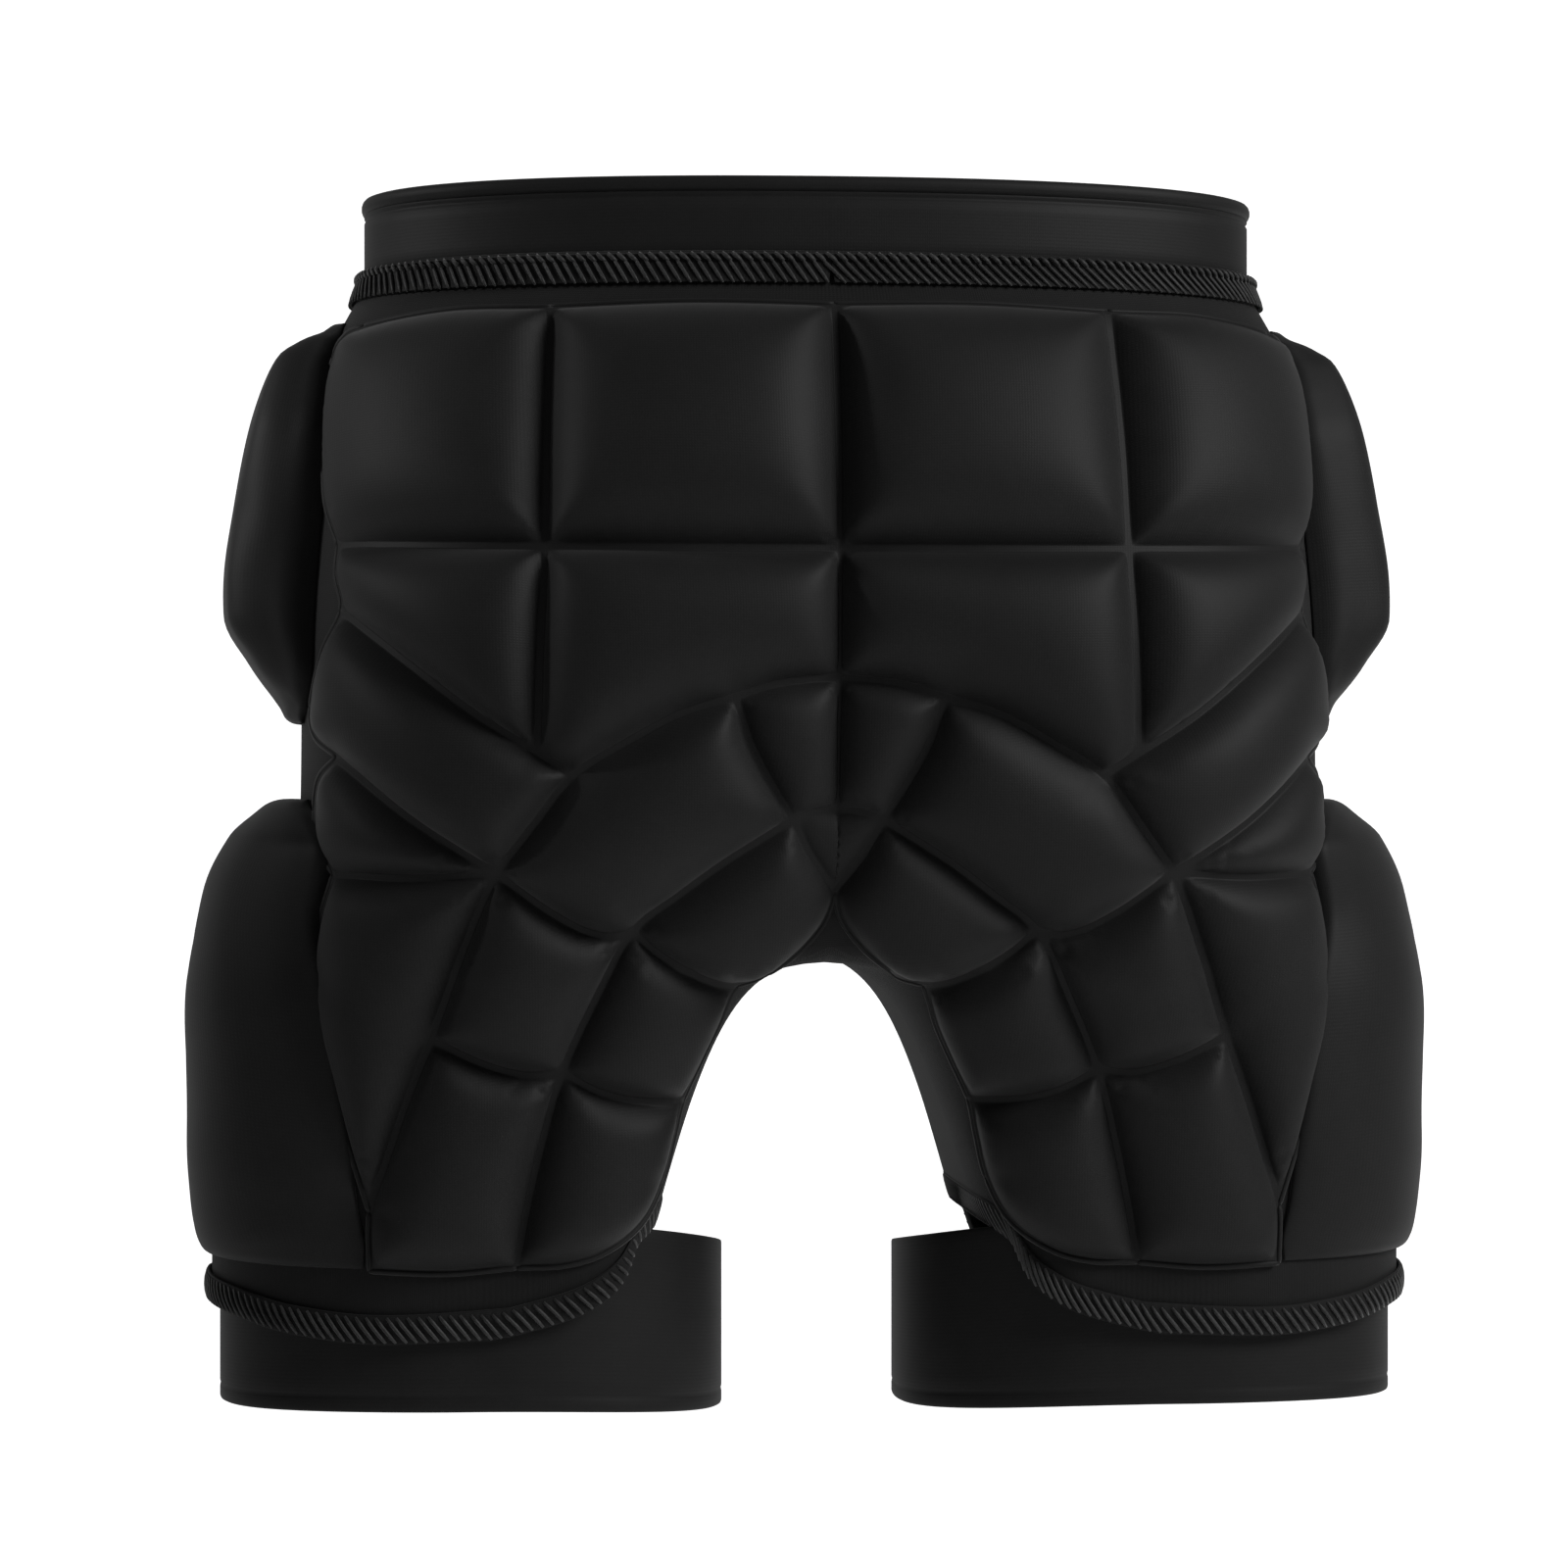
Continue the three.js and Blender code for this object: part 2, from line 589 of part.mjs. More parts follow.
function sidePoint(turn, z, rise) {
  const step = 0.004;
  const here = bodyPoint(turn, z, 0);
  const round = bodyPoint(turn + step, z, 0).sub(bodyPoint(turn - step, z, 0));
  const down = bodyPoint(turn, z - 0.5, 0).sub(bodyPoint(turn, z + 0.5, 0));
  const normal = down.cross(round).normalize();
  return here.addScaledVector(normal, Math.sign(normal.x) * rise);
}

function makeSidePad(name, pad, rows, side) {
  const skin = new Skin();
  const top = heightOf(pad.top);
  const foot = heightOf(pad.foot);
  const place = (point) => (side > 0 ? point : mirrored(point));
  const columns = padColumns(pad.steep, pad.shoulder);
  const layer = (height) => rows.map(({ along, rear, front, rise }) => columns.map((cell) => {
    const turn = THREE.MathUtils.lerp(rear, -front, cell.across) * (Math.PI / 2);
    return place(sidePoint(turn, THREE.MathUtils.lerp(top, foot, along), height(rise * cell.rise)));
  }));
  const outside = layer((share) => PAD_EDGE + share * (pad.rise - PAD_EDGE));
  const under = layer((share) => (share > 0 ? UNDERCUT : LAY));
  skin.grid(outside, side < 0);
  skin.grid(under, side > 0);
  const rim = (rowsOf) => [
    ...rowsOf[0],
    ...rowsOf.slice(1).map((row) => row.at(-1)),
    ...[...rowsOf.at(-1)].reverse().slice(1),
    ...rowsOf.slice(1, -1).reverse().map((row) => row[0]),
  ];
  skin.grid([closed(rim(under)), closed(rim(outside))], side < 0);
  return skin.mesh(name, PADDING);
}

// Leg stitching: a band of overlock thread on the hem
function makeLegStitching(name, side) {
  const turns = legTurns();
  const skin = new Skin();
  const edges = [
    { up: STITCH_HEIGHT, grow: LAY },
    { up: STITCH_HEIGHT, grow: LAY + STITCH_WALL },
    { up: GAP, grow: LAY + STITCH_WALL },
    { up: GAP, grow: LAY },
  ];
  const rows = edges.map(({ up, grow }) => closed(turns.map((turn) => {
    const point = bodyPoint(turn, hemHeight(turn) + up, grow);
    return side > 0 ? point : mirrored(point);
  })));
  skin.grid(closed(rows), side < 0);
  return skin.mesh(name, THREAD);
}

// Thigh cuff: an elastic loop under the hem, which runs free across the inner thigh
function makeCuff(name, side) {
  const outerReach = LEG_SPREAD / 2 - SHELL_WALL - CUFF_EASE;
  const innerReach = innerEdge(CUFF_TOP) - CUFF_REACH;
  const centre = (outerReach + innerReach) / 2;
  const depth = THIGH_DEPTH / 2 - SHELL_WALL - CUFF_EASE;
  const ring = (z, grow) => legTurns().map((turn) => {
    const power = 2 / ROUNDNESS;
    const along = Math.sign(Math.cos(turn)) * Math.abs(Math.cos(turn)) ** power;
    const across = -Math.sign(Math.sin(turn)) * Math.abs(Math.sin(turn)) ** power;
    const reach = (outerReach - innerReach) / 2 + grow;
    return new THREE.Vector3(side * (centre + along * reach), across * (depth + grow), z);
  });
  const skin = new Skin();
  const profile = bandProfile(CUFF_TOP, CUFF_FOOT, 0, CUFF_WALL);
  skin.grid(closed(profile.map(({ z, grow }) => closed(ring(z, grow)))), side < 0);
  return skin.mesh(name, ELASTIC);
}

const HEM_FOOT = BAND_TOP - HEM_HEIGHT;
const STITCH_FOOT = SHELL_TOP - STITCH_HEIGHT;
const model = new THREE.Group();
model.add(
  waistRing("waist_hem", ELASTIC, bandProfile(BAND_TOP, HEM_FOOT, HEM_WALL - BAND_WALL, HEM_WALL)),
  waistRing("waistband", ELASTIC, bandProfile(HEM_FOOT - GAP, BAND_FOOT, 0, BAND_WALL)),
  waistRing("waist_stitching", THREAD, bandProfile(SHELL_TOP, STITCH_FOOT, LAY + STITCH_WALL, STITCH_WALL)),
  makeShell(),
  makeSeatPadding(),
);
for (const [word, side] of [["left", -1], ["right", 1]]) {
  model.add(
    makeSidePad(`hip_pad_${word}`, HIP_PAD, hipRows, side),
    makeSidePad(`thigh_pad_${word}`, THIGH_PAD, thighRows, side),
    makeLegStitching(`leg_stitching_${word}`, side),
    makeCuff(`cuff_${word}`, side),
  );
}

export default model;
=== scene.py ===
# Padded protective shorts, seen from the seat side. The frame is the part's own: metres, +Z up, the seat
# faces -Y and the waistband's centre is the origin. Lengths below are millimetres unless a name says so.
import math

import bmesh
import bpy
import numpy as np
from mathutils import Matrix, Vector
from mathutils.geometry import delaunay_2d_cdt


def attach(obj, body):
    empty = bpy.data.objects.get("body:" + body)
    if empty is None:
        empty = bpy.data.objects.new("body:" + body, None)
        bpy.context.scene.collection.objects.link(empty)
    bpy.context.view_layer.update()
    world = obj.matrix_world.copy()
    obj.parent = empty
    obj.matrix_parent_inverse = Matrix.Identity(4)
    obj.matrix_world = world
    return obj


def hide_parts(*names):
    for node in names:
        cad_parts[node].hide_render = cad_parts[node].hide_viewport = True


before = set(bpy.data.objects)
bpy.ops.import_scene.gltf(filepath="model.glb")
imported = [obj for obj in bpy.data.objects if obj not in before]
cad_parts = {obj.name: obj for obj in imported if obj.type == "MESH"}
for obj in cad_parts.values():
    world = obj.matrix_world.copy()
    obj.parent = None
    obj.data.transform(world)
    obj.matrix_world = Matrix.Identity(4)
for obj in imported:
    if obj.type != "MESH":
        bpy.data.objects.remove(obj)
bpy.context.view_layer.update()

MM = 0.001

# Camera first: level with the seat, 5 degrees round to the wearer's left
LENS = 106.25
VIEW_TURN = math.radians(-5)
camera_data = bpy.data.cameras.new("photo_camera")
camera_data.lens = LENS
camera_data.sensor_width = 36
camera_data.clip_end = 20
camera = bpy.data.objects.new("photo_camera", camera_data)
camera.location = (-0.1566, -1.6929, -0.1984)
camera.rotation_euler = (math.radians(90), 0, VIEW_TURN)
bpy.context.scene.collection.objects.link(camera)
bpy.context.scene.camera = camera

# Heights of the shorts
BAND_TOP = 13.5
BAND_FOOT = -13.5
RISE = 248
LEG_LENGTH = 98
SHELL_TOP = -13.8
CROTCH = BAND_FOOT - RISE
CROTCH_RING = CROTCH + 0.028 * RISE
CUFF_TOP = CROTCH - LEG_LENGTH
CUFF_FOOT = CUFF_TOP - 58
HEM_DROP = 34
ROUNDNESS = 2.3

# Body sections: drop is 0 at the waistband's foot, 1 at the crotch and 2 at the cuffs' top. Crown is where
# a half section is deepest, and square the power of its curve from there to the inner thigh.
SECTION_NAMES = ("drop", "outer", "crown", "back", "front", "square")
SECTIONS = np.array([
    (0, 162, 0, 89, 89, 2.3),
    (0.11, 173.4, 0.03, 102.9, 97.7, 2.3),
    (0.33, 180.8, 0.17, 119, 102.9, 2.4),
    (0.55, 184.5, 0.34, 124, 105, 2.5),
    (0.77, 185.1, 0.45, 119, 100.8, 3),
    (1, 196.4, 0.5, 101.7, 92.4, 4),
    (1.49, 206.2, 0.58, 88, 84, 4.4),
    (1.97, 217, 0.6, 80.8, 80, 6),
    (2.6, 217, 0.6, 80, 80, 6),
])


def smooth_curve(xs, ys, at, free_ends=False):
    """Values of a curve through points that never overshoots them."""
    xs = np.asarray(xs, float)
    ys = np.asarray(ys, float)
    steps = np.diff(xs)
    slopes = np.diff(ys) / steps
    tangents = np.zeros_like(ys)
    before = slopes[:-1]
    after = slopes[1:]
    agree = before * after > 0
    tangents[1:-1][agree] = 2 * before[agree] * after[agree] / (before + after)[agree]
    if free_ends:
        tangents[0] = slopes[0] * 1.5
        tangents[-1] = slopes[-1] * 1.5
    at = np.clip(np.asarray(at, float), xs[0], xs[-1])
    row = np.clip(np.searchsorted(xs, at, side="right") - 1, 0, len(xs) - 2)
    t = (at - xs[row]) / steps[row]
    return ((2 * t**3 - 3 * t**2 + 1) * ys[row] + (t**3 - 2 * t**2 + t) * steps[row] * tangents[row]
            + (3 * t**2 - 2 * t**3) * ys[row + 1] + (t**3 - t**2) * steps[row] * tangents[row + 1])


def column(name, drop):
    return smooth_curve(SECTIONS[:, 0], SECTIONS[:, SECTION_NAMES.index(name)], drop)


def height_of(drop):
    drop = np.asarray(drop, float)
    return np.where(drop < 1, BAND_FOOT - drop * RISE, CROTCH - (drop - 1) * LEG_LENGTH)


def drop_of(z):
    z = np.asarray(z, float)
    return np.where(z > CROTCH, (BAND_FOOT - z) / RISE, 1 + (CROTCH - z) / LEG_LENGTH)


def inner_edge(z):
    """Half width of the arch between the legs; above the crotch, the overlap of the two halves."""
    z = np.asarray(z, float)
    depth = np.minimum(np.abs(CROTCH - z), LEG_LENGTH)
    bow = np.sqrt(depth * (36 + 30 * np.exp(-depth / 25)))
    return np.where(z < CROTCH, bow, -bow - 0.35 * (z - CROTCH))


def section(z, grow=0.0):
    drop = drop_of(z)
    outer = column("outer", drop)
    return {
        "outer": outer + grow,
        "crown": column("crown", drop) * outer,
        "inner": inner_edge(z + grow) - grow,
        "back": column("back", drop) + grow,
        "front": column("front", drop) + grow,
        "square": column("square", drop),
    }


def body_point(turn, z, grow=0.0):
    """Points of the right half: turn 0 is the outer side and a quarter turn the back."""
    turn, z, grow = np.broadcast_arrays(*(np.asarray(value, float) for value in (turn, z, grow)))
    s = section(z, grow)
    along = np.abs(np.cos(turn))
    across = np.abs(np.sin(turn))
    outside = np.abs(turn) <= math.pi / 2
    power = 2 / np.where(outside, ROUNDNESS, s["square"])
    reach = np.where(outside, s["outer"], s["inner"]) - s["crown"]
    depth = np.where(turn > 0, -s["back"], s["front"])
    return np.stack([s["crown"] + reach * along**power, depth * across**power, z], axis=-1)


def body_normal(turn, z):
    """Outward directions, evened out over 18 mm of height either way."""
    step = 0.004
    round_way = body_point(turn + step, z) - body_point(turn - step, z)
    down_way = body_point(turn, z - 18) - body_point(turn, z + 18)
    normal = np.cross(down_way, round_way)
    normal /= np.linalg.norm(normal, axis=-1, keepdims=True) + 1e-12
    return normal * np.where(normal[..., :1] * np.cos(turn)[..., None] < 0, -1, 1)


def centre_turn(z, grow=0.0):
    s = section(z, grow)
    share = np.clip(s["crown"] / np.maximum(s["crown"] - s["inner"], 1e-6), 0, 1)
    return math.pi - np.arccos(share ** (s["square"] / 2))


# Mesh helpers

def finish_mesh(bm, name, material):
    """Makes an object of a bmesh in metres, riding on the one body."""
    mesh = bpy.data.meshes.new(name)
    for face in bm.faces:
        face.smooth = True
    bm.to_mesh(mesh)
    bm.free()
    mesh.materials.append(material)
    piece = bpy.data.objects.new(name, mesh)
    bpy.context.scene.collection.objects.link(piece)
    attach(piece, "root")
    return piece


def placed_grid(columns, rows, place, cloth=None, wrap=False):
    """A grid whose points are placed by a function of their shares across and down, both 0 to 1."""
    bm = bmesh.new()
    bmesh.ops.create_grid(bm, x_segments=columns, y_segments=rows, size=1)
    bm.verts.ensure_lookup_table()
    flat = np.array([v.co[:2] for v in bm.verts])
    across = (flat[:, 0] + 1) / 2
    down = (1 - flat[:, 1]) / 2
    points = place(across, down) * MM
    cloth_points = cloth(across, down) if cloth else np.stack([across * 400, down * 400], axis=-1)
    for vert, point in zip(bm.verts, points):
        vert.co = point
    layer = bm.loops.layers.uv.new("cloth")
    for face in bm.faces:
        for loop in face.loops:
            loop[layer].uv = cloth_points[loop.vert.index] * MM
    if wrap:
        bmesh.ops.remove_doubles(bm, verts=bm.verts, dist=0.00002)
    return bm


def add_mirrored(bm, merge=0.00002):
    bmesh.ops.mirror(bm, geom=bm.verts[:] + bm.edges[:] + bm.faces[:], axis="X", merge_dist=merge)
    bmesh.ops.remove_doubles(bm, verts=bm.verts, dist=merge)
    bmesh.ops.recalc_face_normals(bm, faces=bm.faces)


def flipped_copy(bm):
    """The same shape for the other side of the body."""
    other = bm.copy()
    bmesh.ops.scale(other, vec=(-1, 1, 1), verts=other.verts)
    bmesh.ops.reverse_faces(other, faces=other.faces)
    return other


def merge_bmesh(target, source):
    mesh = bpy.data.meshes.new("part")
    source.to_mesh(mesh)
    source.free()
    target.from_mesh(mesh)
    bpy.data.meshes.remove(mesh)


FILLING_FRAMES = 20


def mark_held(bm, edge_only):
    """Marks the points that a sewn edge holds while a cover is filled."""
    layer = bm.verts.layers.float.new("held")
    for vert in bm.verts:
        vert[layer] = vert.is_boundary or not edge_only


def fill_cover(piece, pressure, mass, cap):
    """Cloth simulation: pressure fills a cover whose held points stay, and no point moves past its cap."""
    mesh = piece.data
    count = len(mesh.vertices)
    held = np.empty(count)
    mesh.attributes["held"].data.foreach_get("value", held)
    rest = np.empty(count * 3)
    mesh.vertices.foreach_get("co", rest)
    group = piece.vertex_groups.new(name="held")
    group.add([int(i) for i in np.flatnonzero(held > 0.5)], 1.0, "REPLACE")
    cloth = piece.modifiers.new("filling", "CLOTH")
    cloth.settings.use_pressure = True
    cloth.settings.uniform_pressure_force = pressure
    cloth.settings.mass = mass
    cloth.settings.effector_weights.gravity = 0
    cloth.settings.vertex_group_mass = "held"
    cloth.point_cache.frame_start = 1
    cloth.point_cache.frame_end = FILLING_FRAMES
    for step in range(1, FILLING_FRAMES + 1):
        bpy.context.scene.frame_set(step)
    ready = piece.evaluated_get(bpy.context.evaluated_depsgraph_get())
    filled = np.empty(count * 3)
    ready.data.vertices.foreach_get("co", filled)
    move = (filled - rest).reshape(-1, 3)
    length = np.linalg.norm(move, axis=1)
    allowed = cap * MM * np.tanh(length / (cap * MM))
    move *= (allowed / np.maximum(length, 1e-9))[:, None]
    piece.modifiers.remove(cloth)
    piece.vertex_groups.remove(group)
    mesh.vertices.foreach_set("co", rest + move.ravel())
    mesh.update()
    bpy.context.scene.frame_set(1)
    mesh.attributes.remove(mesh.attributes["held"])


# Materials

def colour(code):
    """Linear colour of an sRGB hex value."""
    parts = [int(code[i:i + 2], 16) / 255 for i in (1, 3, 5)]
    return tuple(p / 12.92 if p <= 0.04045 else ((p + 0.055) / 1.055) ** 2.4 for p in parts) + (1,)


def add_node(tree, kind, settings=None, **links):
    """Adds a node; settings are its own or its sockets' values, links are sockets it reads from."""
    node = tree.nodes.new(kind)
    for name, value in (settings or {}).items():
        if hasattr(node, name):
            setattr(node, name, value)
        else:
            node.inputs[int(name) if name.isdigit() else name].default_value = value
    for name, source in links.items():
        key = name.replace("_", " ")
        tree.links.new(source, node.inputs[int(key[1:]) if key[1:].isdigit() else key])
    return node


def cloth_material(name, dark, light, roughness, sheen, thread_mm, relief, ribs=False):
    """Black cloth: rows of loops or threads at a real pitch, with slight mottling of its dye."""
    material = bpy.data.materials.new(name)
    material.use_nodes = True
    tree = material.node_tree
    tree.nodes.clear()
    place = add_node(tree, "ShaderNodeTexCoord")
    threads = 1 / (thread_mm * MM)
    across = add_node(tree, "ShaderNodeTexWave",
                      {"wave_type": "BANDS", "bands_direction": "X", "wave_profile": "SIN",
                       "Scale": 0.314 * threads, "Distortion": 0.6, "Detail": 1, "Detail Scale": 2},
                      Vector=place.outputs["UV"])
    down = add_node(tree, "ShaderNodeTexWave",
                    {"wave_type": "BANDS", "bands_direction": "Y", "wave_profile": "SIN",
                     "Scale": 0.314 * threads * (0.5 if ribs else 1.1), "Distortion": 0.6, "Detail": 1,
                     "Detail Scale": 2},
                    Vector=place.outputs["UV"])
    weave = add_node(tree, "ShaderNodeMath", {"operation": "MULTIPLY"},
                     i0=across.outputs["Fac"], i1=down.outputs["Fac"])
    dye = add_node(tree, "ShaderNodeTexNoise", {"Scale": 45, "Detail": 4, "Roughness": 0.6},
                   Vector=place.outputs["Object"])
    fuzz = add_node(tree, "ShaderNodeTexNoise", {"Scale": 1400, "Detail": 2, "Roughness": 0.5},
                    Vector=place.outputs["Object"])
    mottle = add_node(tree, "ShaderNodeMath", {"operation": "MULTIPLY_ADD", "2": 0.0},
                      i0=dye.outputs["Fac"], i1=fuzz.outputs["Fac"])
    tone = add_node(tree, "ShaderNodeMath", {"operation": "MULTIPLY_ADD", "1": 0.25},
                    i0=weave.outputs[0], i2=mottle.outputs[0])
    ramp = add_node(tree, "ShaderNodeValToRGB", {}, Fac=tone.outputs[0])
    ramp.color_ramp.elements[0].position = 0.15
    ramp.color_ramp.elements[0].color = colour(dark)
    ramp.color_ramp.elements[1].position = 0.6
    ramp.color_ramp.elements[1].color = colour(light)
    height = add_node(tree, "ShaderNodeMath", {"operation": "MULTIPLY_ADD", "1": 0.35},
                      i0=fuzz.outputs["Fac"], i2=weave.outputs[0])
    bump = add_node(tree, "ShaderNodeBump", {"Strength": relief, "Distance": 0.0002},
                    Height=height.outputs[0])
    shader = add_node(tree, "ShaderNodeBsdfPrincipled",
                      {"Roughness": roughness, "IOR": 1.45, "Specular IOR Level": 0.25,
                       "Sheen Weight": sheen, "Sheen Roughness": 0.45},
                      Base_Color=ramp.outputs["Color"], Normal=bump.outputs["Normal"])
    add_node(tree, "ShaderNodeOutputMaterial", {}, Surface=shader.outputs["BSDF"])
    return material


# Warp-knit polyester laminated on moulded foam: fine rows of loops give a soft, nearly even black. Real
# loops are about 0.6 mm apart and are drawn a little coarser, so that they show.
foam_knit = cloth_material("polyester_knit_laminated_on_foam", "#131313", "#1c1c1c", 0.6, 0.1, 0.9, 0.15)
# Circular-knit polyamide and elastane: a duller stretch cloth, a little darker than the padding
stretch_knit = cloth_material("polyamide_stretch_knit", "#101010", "#181818", 0.72, 0.08, 0.8, 0.4)
# Woven elastic tape: tight crosswise ribs, smoother than the knit
woven_elastic = cloth_material("woven_elastic_tape", "#121212", "#1a1a1a", 0.6, 0.08, 0.6, 0.12, ribs=True)
# Spun polyester overlock thread: lighter than the cloth, because its twist catches the light
spun_thread = cloth_material("spun_polyester_thread", "#2c2c2c", "#4e4e4e", 0.5, 0.2, 0.5, 0.6)


# Shell of stretch knit

TORSO_COLUMNS = 64
INNER_COLUMNS = 20
TORSO_ROWS = 44
LEG_ROWS = 30
SPLIT = float(centre_turn(CROTCH_RING))

# How far the leg's hem hangs below the cuff's top, as a share of the full drop, against shares of a half
# turn from the outer side
HEM_SHARES = np.array([(0, 0.72), (0.15, 0.78), (0.3, 0.93), (0.42, 1), (0.5, 0.97), (0.51, 0.895),
                       (0.58, 0.7), (0.69, 0.4), (0.78, 0.02), (0.9, -0.1), (1, -0.12)])

# The shell runs up behind the waistband's foot, so that no light shows between them
SHELL_TUCK = 1.2


def hem_height(turn):
    turn = np.abs((np.asarray(turn, float) + math.pi) % (2 * math.pi) - math.pi)
    return CUFF_TOP - smooth_curve(HEM_SHARES[:, 0], HEM_SHARES[:, 1], turn / math.pi) * HEM_DROP


def torso_place(across, down):
    top = SHELL_TOP + SHELL_TUCK
    z = top + down * (CROTCH_RING - top)
    points = body_point(centre_turn(z) * (1 - 2 * across), z)
    points[(across < 1e-6) | (across > 1 - 1e-6), 0] = 0
    return points


def crotch_line(turn):
    """Heights at which the right half meets the centre plane, under the crotch."""
    high = np.full_like(turn, CROTCH_RING)
    low = np.full_like(turn, CROTCH - 4.0)
    for _ in range(40):
        middle = (high + low) / 2
        inside = body_point(turn, middle)[:, 0] < 0
        high = np.where(inside, middle, high)
        low = np.where(inside, low, middle)
    return high


def outer_leg_place(across, down):
    turn = SPLIT * (1 - 2 * across)
    top = np.full_like(turn, CROTCH_RING)
    return body_point(turn, top + down * (hem_height(turn) - top))


def inner_leg_place(across, down):
    turn = -SPLIT - (2 * math.pi - 2 * SPLIT) * across
    turn = np.where(turn < -math.pi, turn + 2 * math.pi, turn)
    top = crotch_line(turn)
    ends = (across < 1e-6) | (across > 1 - 1e-6)
    top = np.where(ends, CROTCH_RING, top)
    eased = down**1.35
    share = np.where(ends, down, eased * np.minimum(1, 6 * np.minimum(across, 1 - across))
                     + down * (1 - np.minimum(1, 6 * np.minimum(across, 1 - across))))
    points = body_point(turn, top + share * (hem_height(turn) - top))
    points[down < 1e-6, 0] = np.where(ends[down < 1e-6], points[down < 1e-6, 0], 0)
    return points


def body_cloth(across, down):
    return np.stack([across * 480, down * 260], axis=-1)


def make_shell():
    bm = placed_grid(TORSO_COLUMNS, TORSO_ROWS, torso_place, body_cloth)
    merge_bmesh(bm, placed_grid(TORSO_COLUMNS, LEG_ROWS, outer_leg_place, body_cloth))
    merge_bmesh(bm, placed_grid(INNER_COLUMNS, LEG_ROWS, inner_leg_place, body_cloth))
    bmesh.ops.remove_doubles(bm, verts=bm.verts, dist=0.0002)
    add_mirrored(bm, 0.0002)
    bmesh.ops.dissolve_degenerate(bm, edges=bm.edges, dist=0.00002)
    bmesh.ops.smooth_vert(bm, verts=[v for v in bm.verts if not v.is_boundary and -0.275 < v.co.z < -0.235
                                     and abs(v.co.x) < 0.03], factor=0.5, use_axis_x=True,
                          use_axis_y=True, use_axis_z=True)
    piece = finish_mesh(bm, "stretch_shell", stretch_knit)
    wall = piece.modifiers.new("wall", "SOLIDIFY")
    wall.thickness = 0.0019
    wall.offset = -1
    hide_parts("shell")
    return piece


# Seams of the seat padding's right half: each line runs through named junctions and plain points, at x and
# z on the body
SEAM_LINES = (
    "top_centre,0,-33.5 48,-32.6 top_middle,96.6,-34 130,-33.6 top_side,160,-37 167.5,-40 "
    "side_upper,171,-46 173.6,-60 174.5,-78 173.7,-99 row_side,169,-115",
    "top_centre 0,-76 row_centre,0,-118 0,-140 arc_centre,0,-161.5",
    "top_middle 98.5,-76 row_middle,99.7,-118 101.5,-152 bar_middle,102.8,-187.6",
    "row_centre 50,-118.3 row_middle 135,-117 row_side",
    "row_side 169.9,-126 bar_top,168,-138 174.5,-152 bar_side,178.7,-171 177,-182 bar_foot,169.3,-189",
    "bar_top 146,-156.5 124,-174 bar_middle arc_end,90.7,-195.3",
    "arc_centre 20.5,-163.8 arc_middle,36,-168.5 54,-174 73,-184 arc_end 104,-212 fan_hub,116.4,-228.2",
    "bar_foot 144,-210.5 fan_hub",
    "bar_foot 175.6,-196 wedge_side,177.3,-207.5 176.3,-220 wedge_foot,170.7,-230",
    "wedge_foot 143,-230.4 fan_hub",
    "arc_centre 0,-184 shield_top,0,-206.5",
    "arc_middle 30.5,-185 21.8,-201 shield_side,15.9,-210 9.3,-222.5 shield_foot,0,-234.8",
    "shield_top 8,-207.4 shield_side",
    "shield_side 38.4,-224 54.8,-236 band_foot,70,-248.4 82.5,-272 thigh_hub,93.5,-297.5 100,-321 "
    "105,-343.5 foot_middle,109,-366.5",
    "fan_hub 108,-234.5 98,-241.6 86,-248.2 77,-250 band_foot",
    "band_foot 61,-256 50,-262.3 41,-266 arch_inner,33.5,-266.8",
    "shield_foot 3,-244 8,-251 16,-258 25,-264 arch_inner",
    "fan_hub 122.4,-242 129.8,-262 tail_waist,138.2,-286 146.2,-307 154,-330 tail_end,159.4,-347 "
    "foot_side,159.5,-367.5",
    "wedge_foot 175.6,-247 tail_side,178,-266 176.4,-284 171.2,-305 164.6,-330 tail_end",
    "thigh_hub 106,-298.5 121.5,-294.2 tail_waist",
    "arch_inner 36.5,-273 40,-282 45.5,-294 thigh_inner,52,-308.5 55.2,-322 foot_inner,59,-337 66.5,-352 "
    "79,-362 93,-366 foot_middle 133,-368.4 foot_side",
    "thigh_hub 81,-304.5 68,-307.8 thigh_inner",
)

# Foam cells of the right half: their rise as a share of the full one, and their corners in order
CELLS = [
    (1, "top_centre top_middle row_middle row_centre"),
    (1, "top_middle top_side side_upper row_side row_middle"),
    (1, "row_centre row_middle bar_middle arc_end arc_middle arc_centre"),
    (0.92, "row_middle row_side bar_top bar_middle"),
    (1, "bar_top bar_side bar_foot fan_hub arc_end bar_middle"),
    (0.85, "bar_foot wedge_side wedge_foot fan_hub"),
    (0.8, "arc_centre arc_middle shield_side shield_top"),
    (1, "arc_middle arc_end fan_hub band_foot shield_side"),
    (0.95, "shield_side band_foot arch_inner shield_foot"),
    (1, "fan_hub tail_waist thigh_hub band_foot"),
    (0.92, "band_foot thigh_hub thigh_inner arch_inner"),
    (0.95, "fan_hub wedge_foot tail_side tail_end tail_waist"),
    (1, "thigh_hub tail_waist tail_end foot_side foot_middle"),
    (0.95, "thigh_inner thigh_hub foot_middle foot_inner"),
    (0.32, "shield_top shield_side shield_foot"),
]

CELL_RISE = 16.5
GROOVE = 2.6
GROOVE_HALF = 1.6
CELL_GRID = 2.1


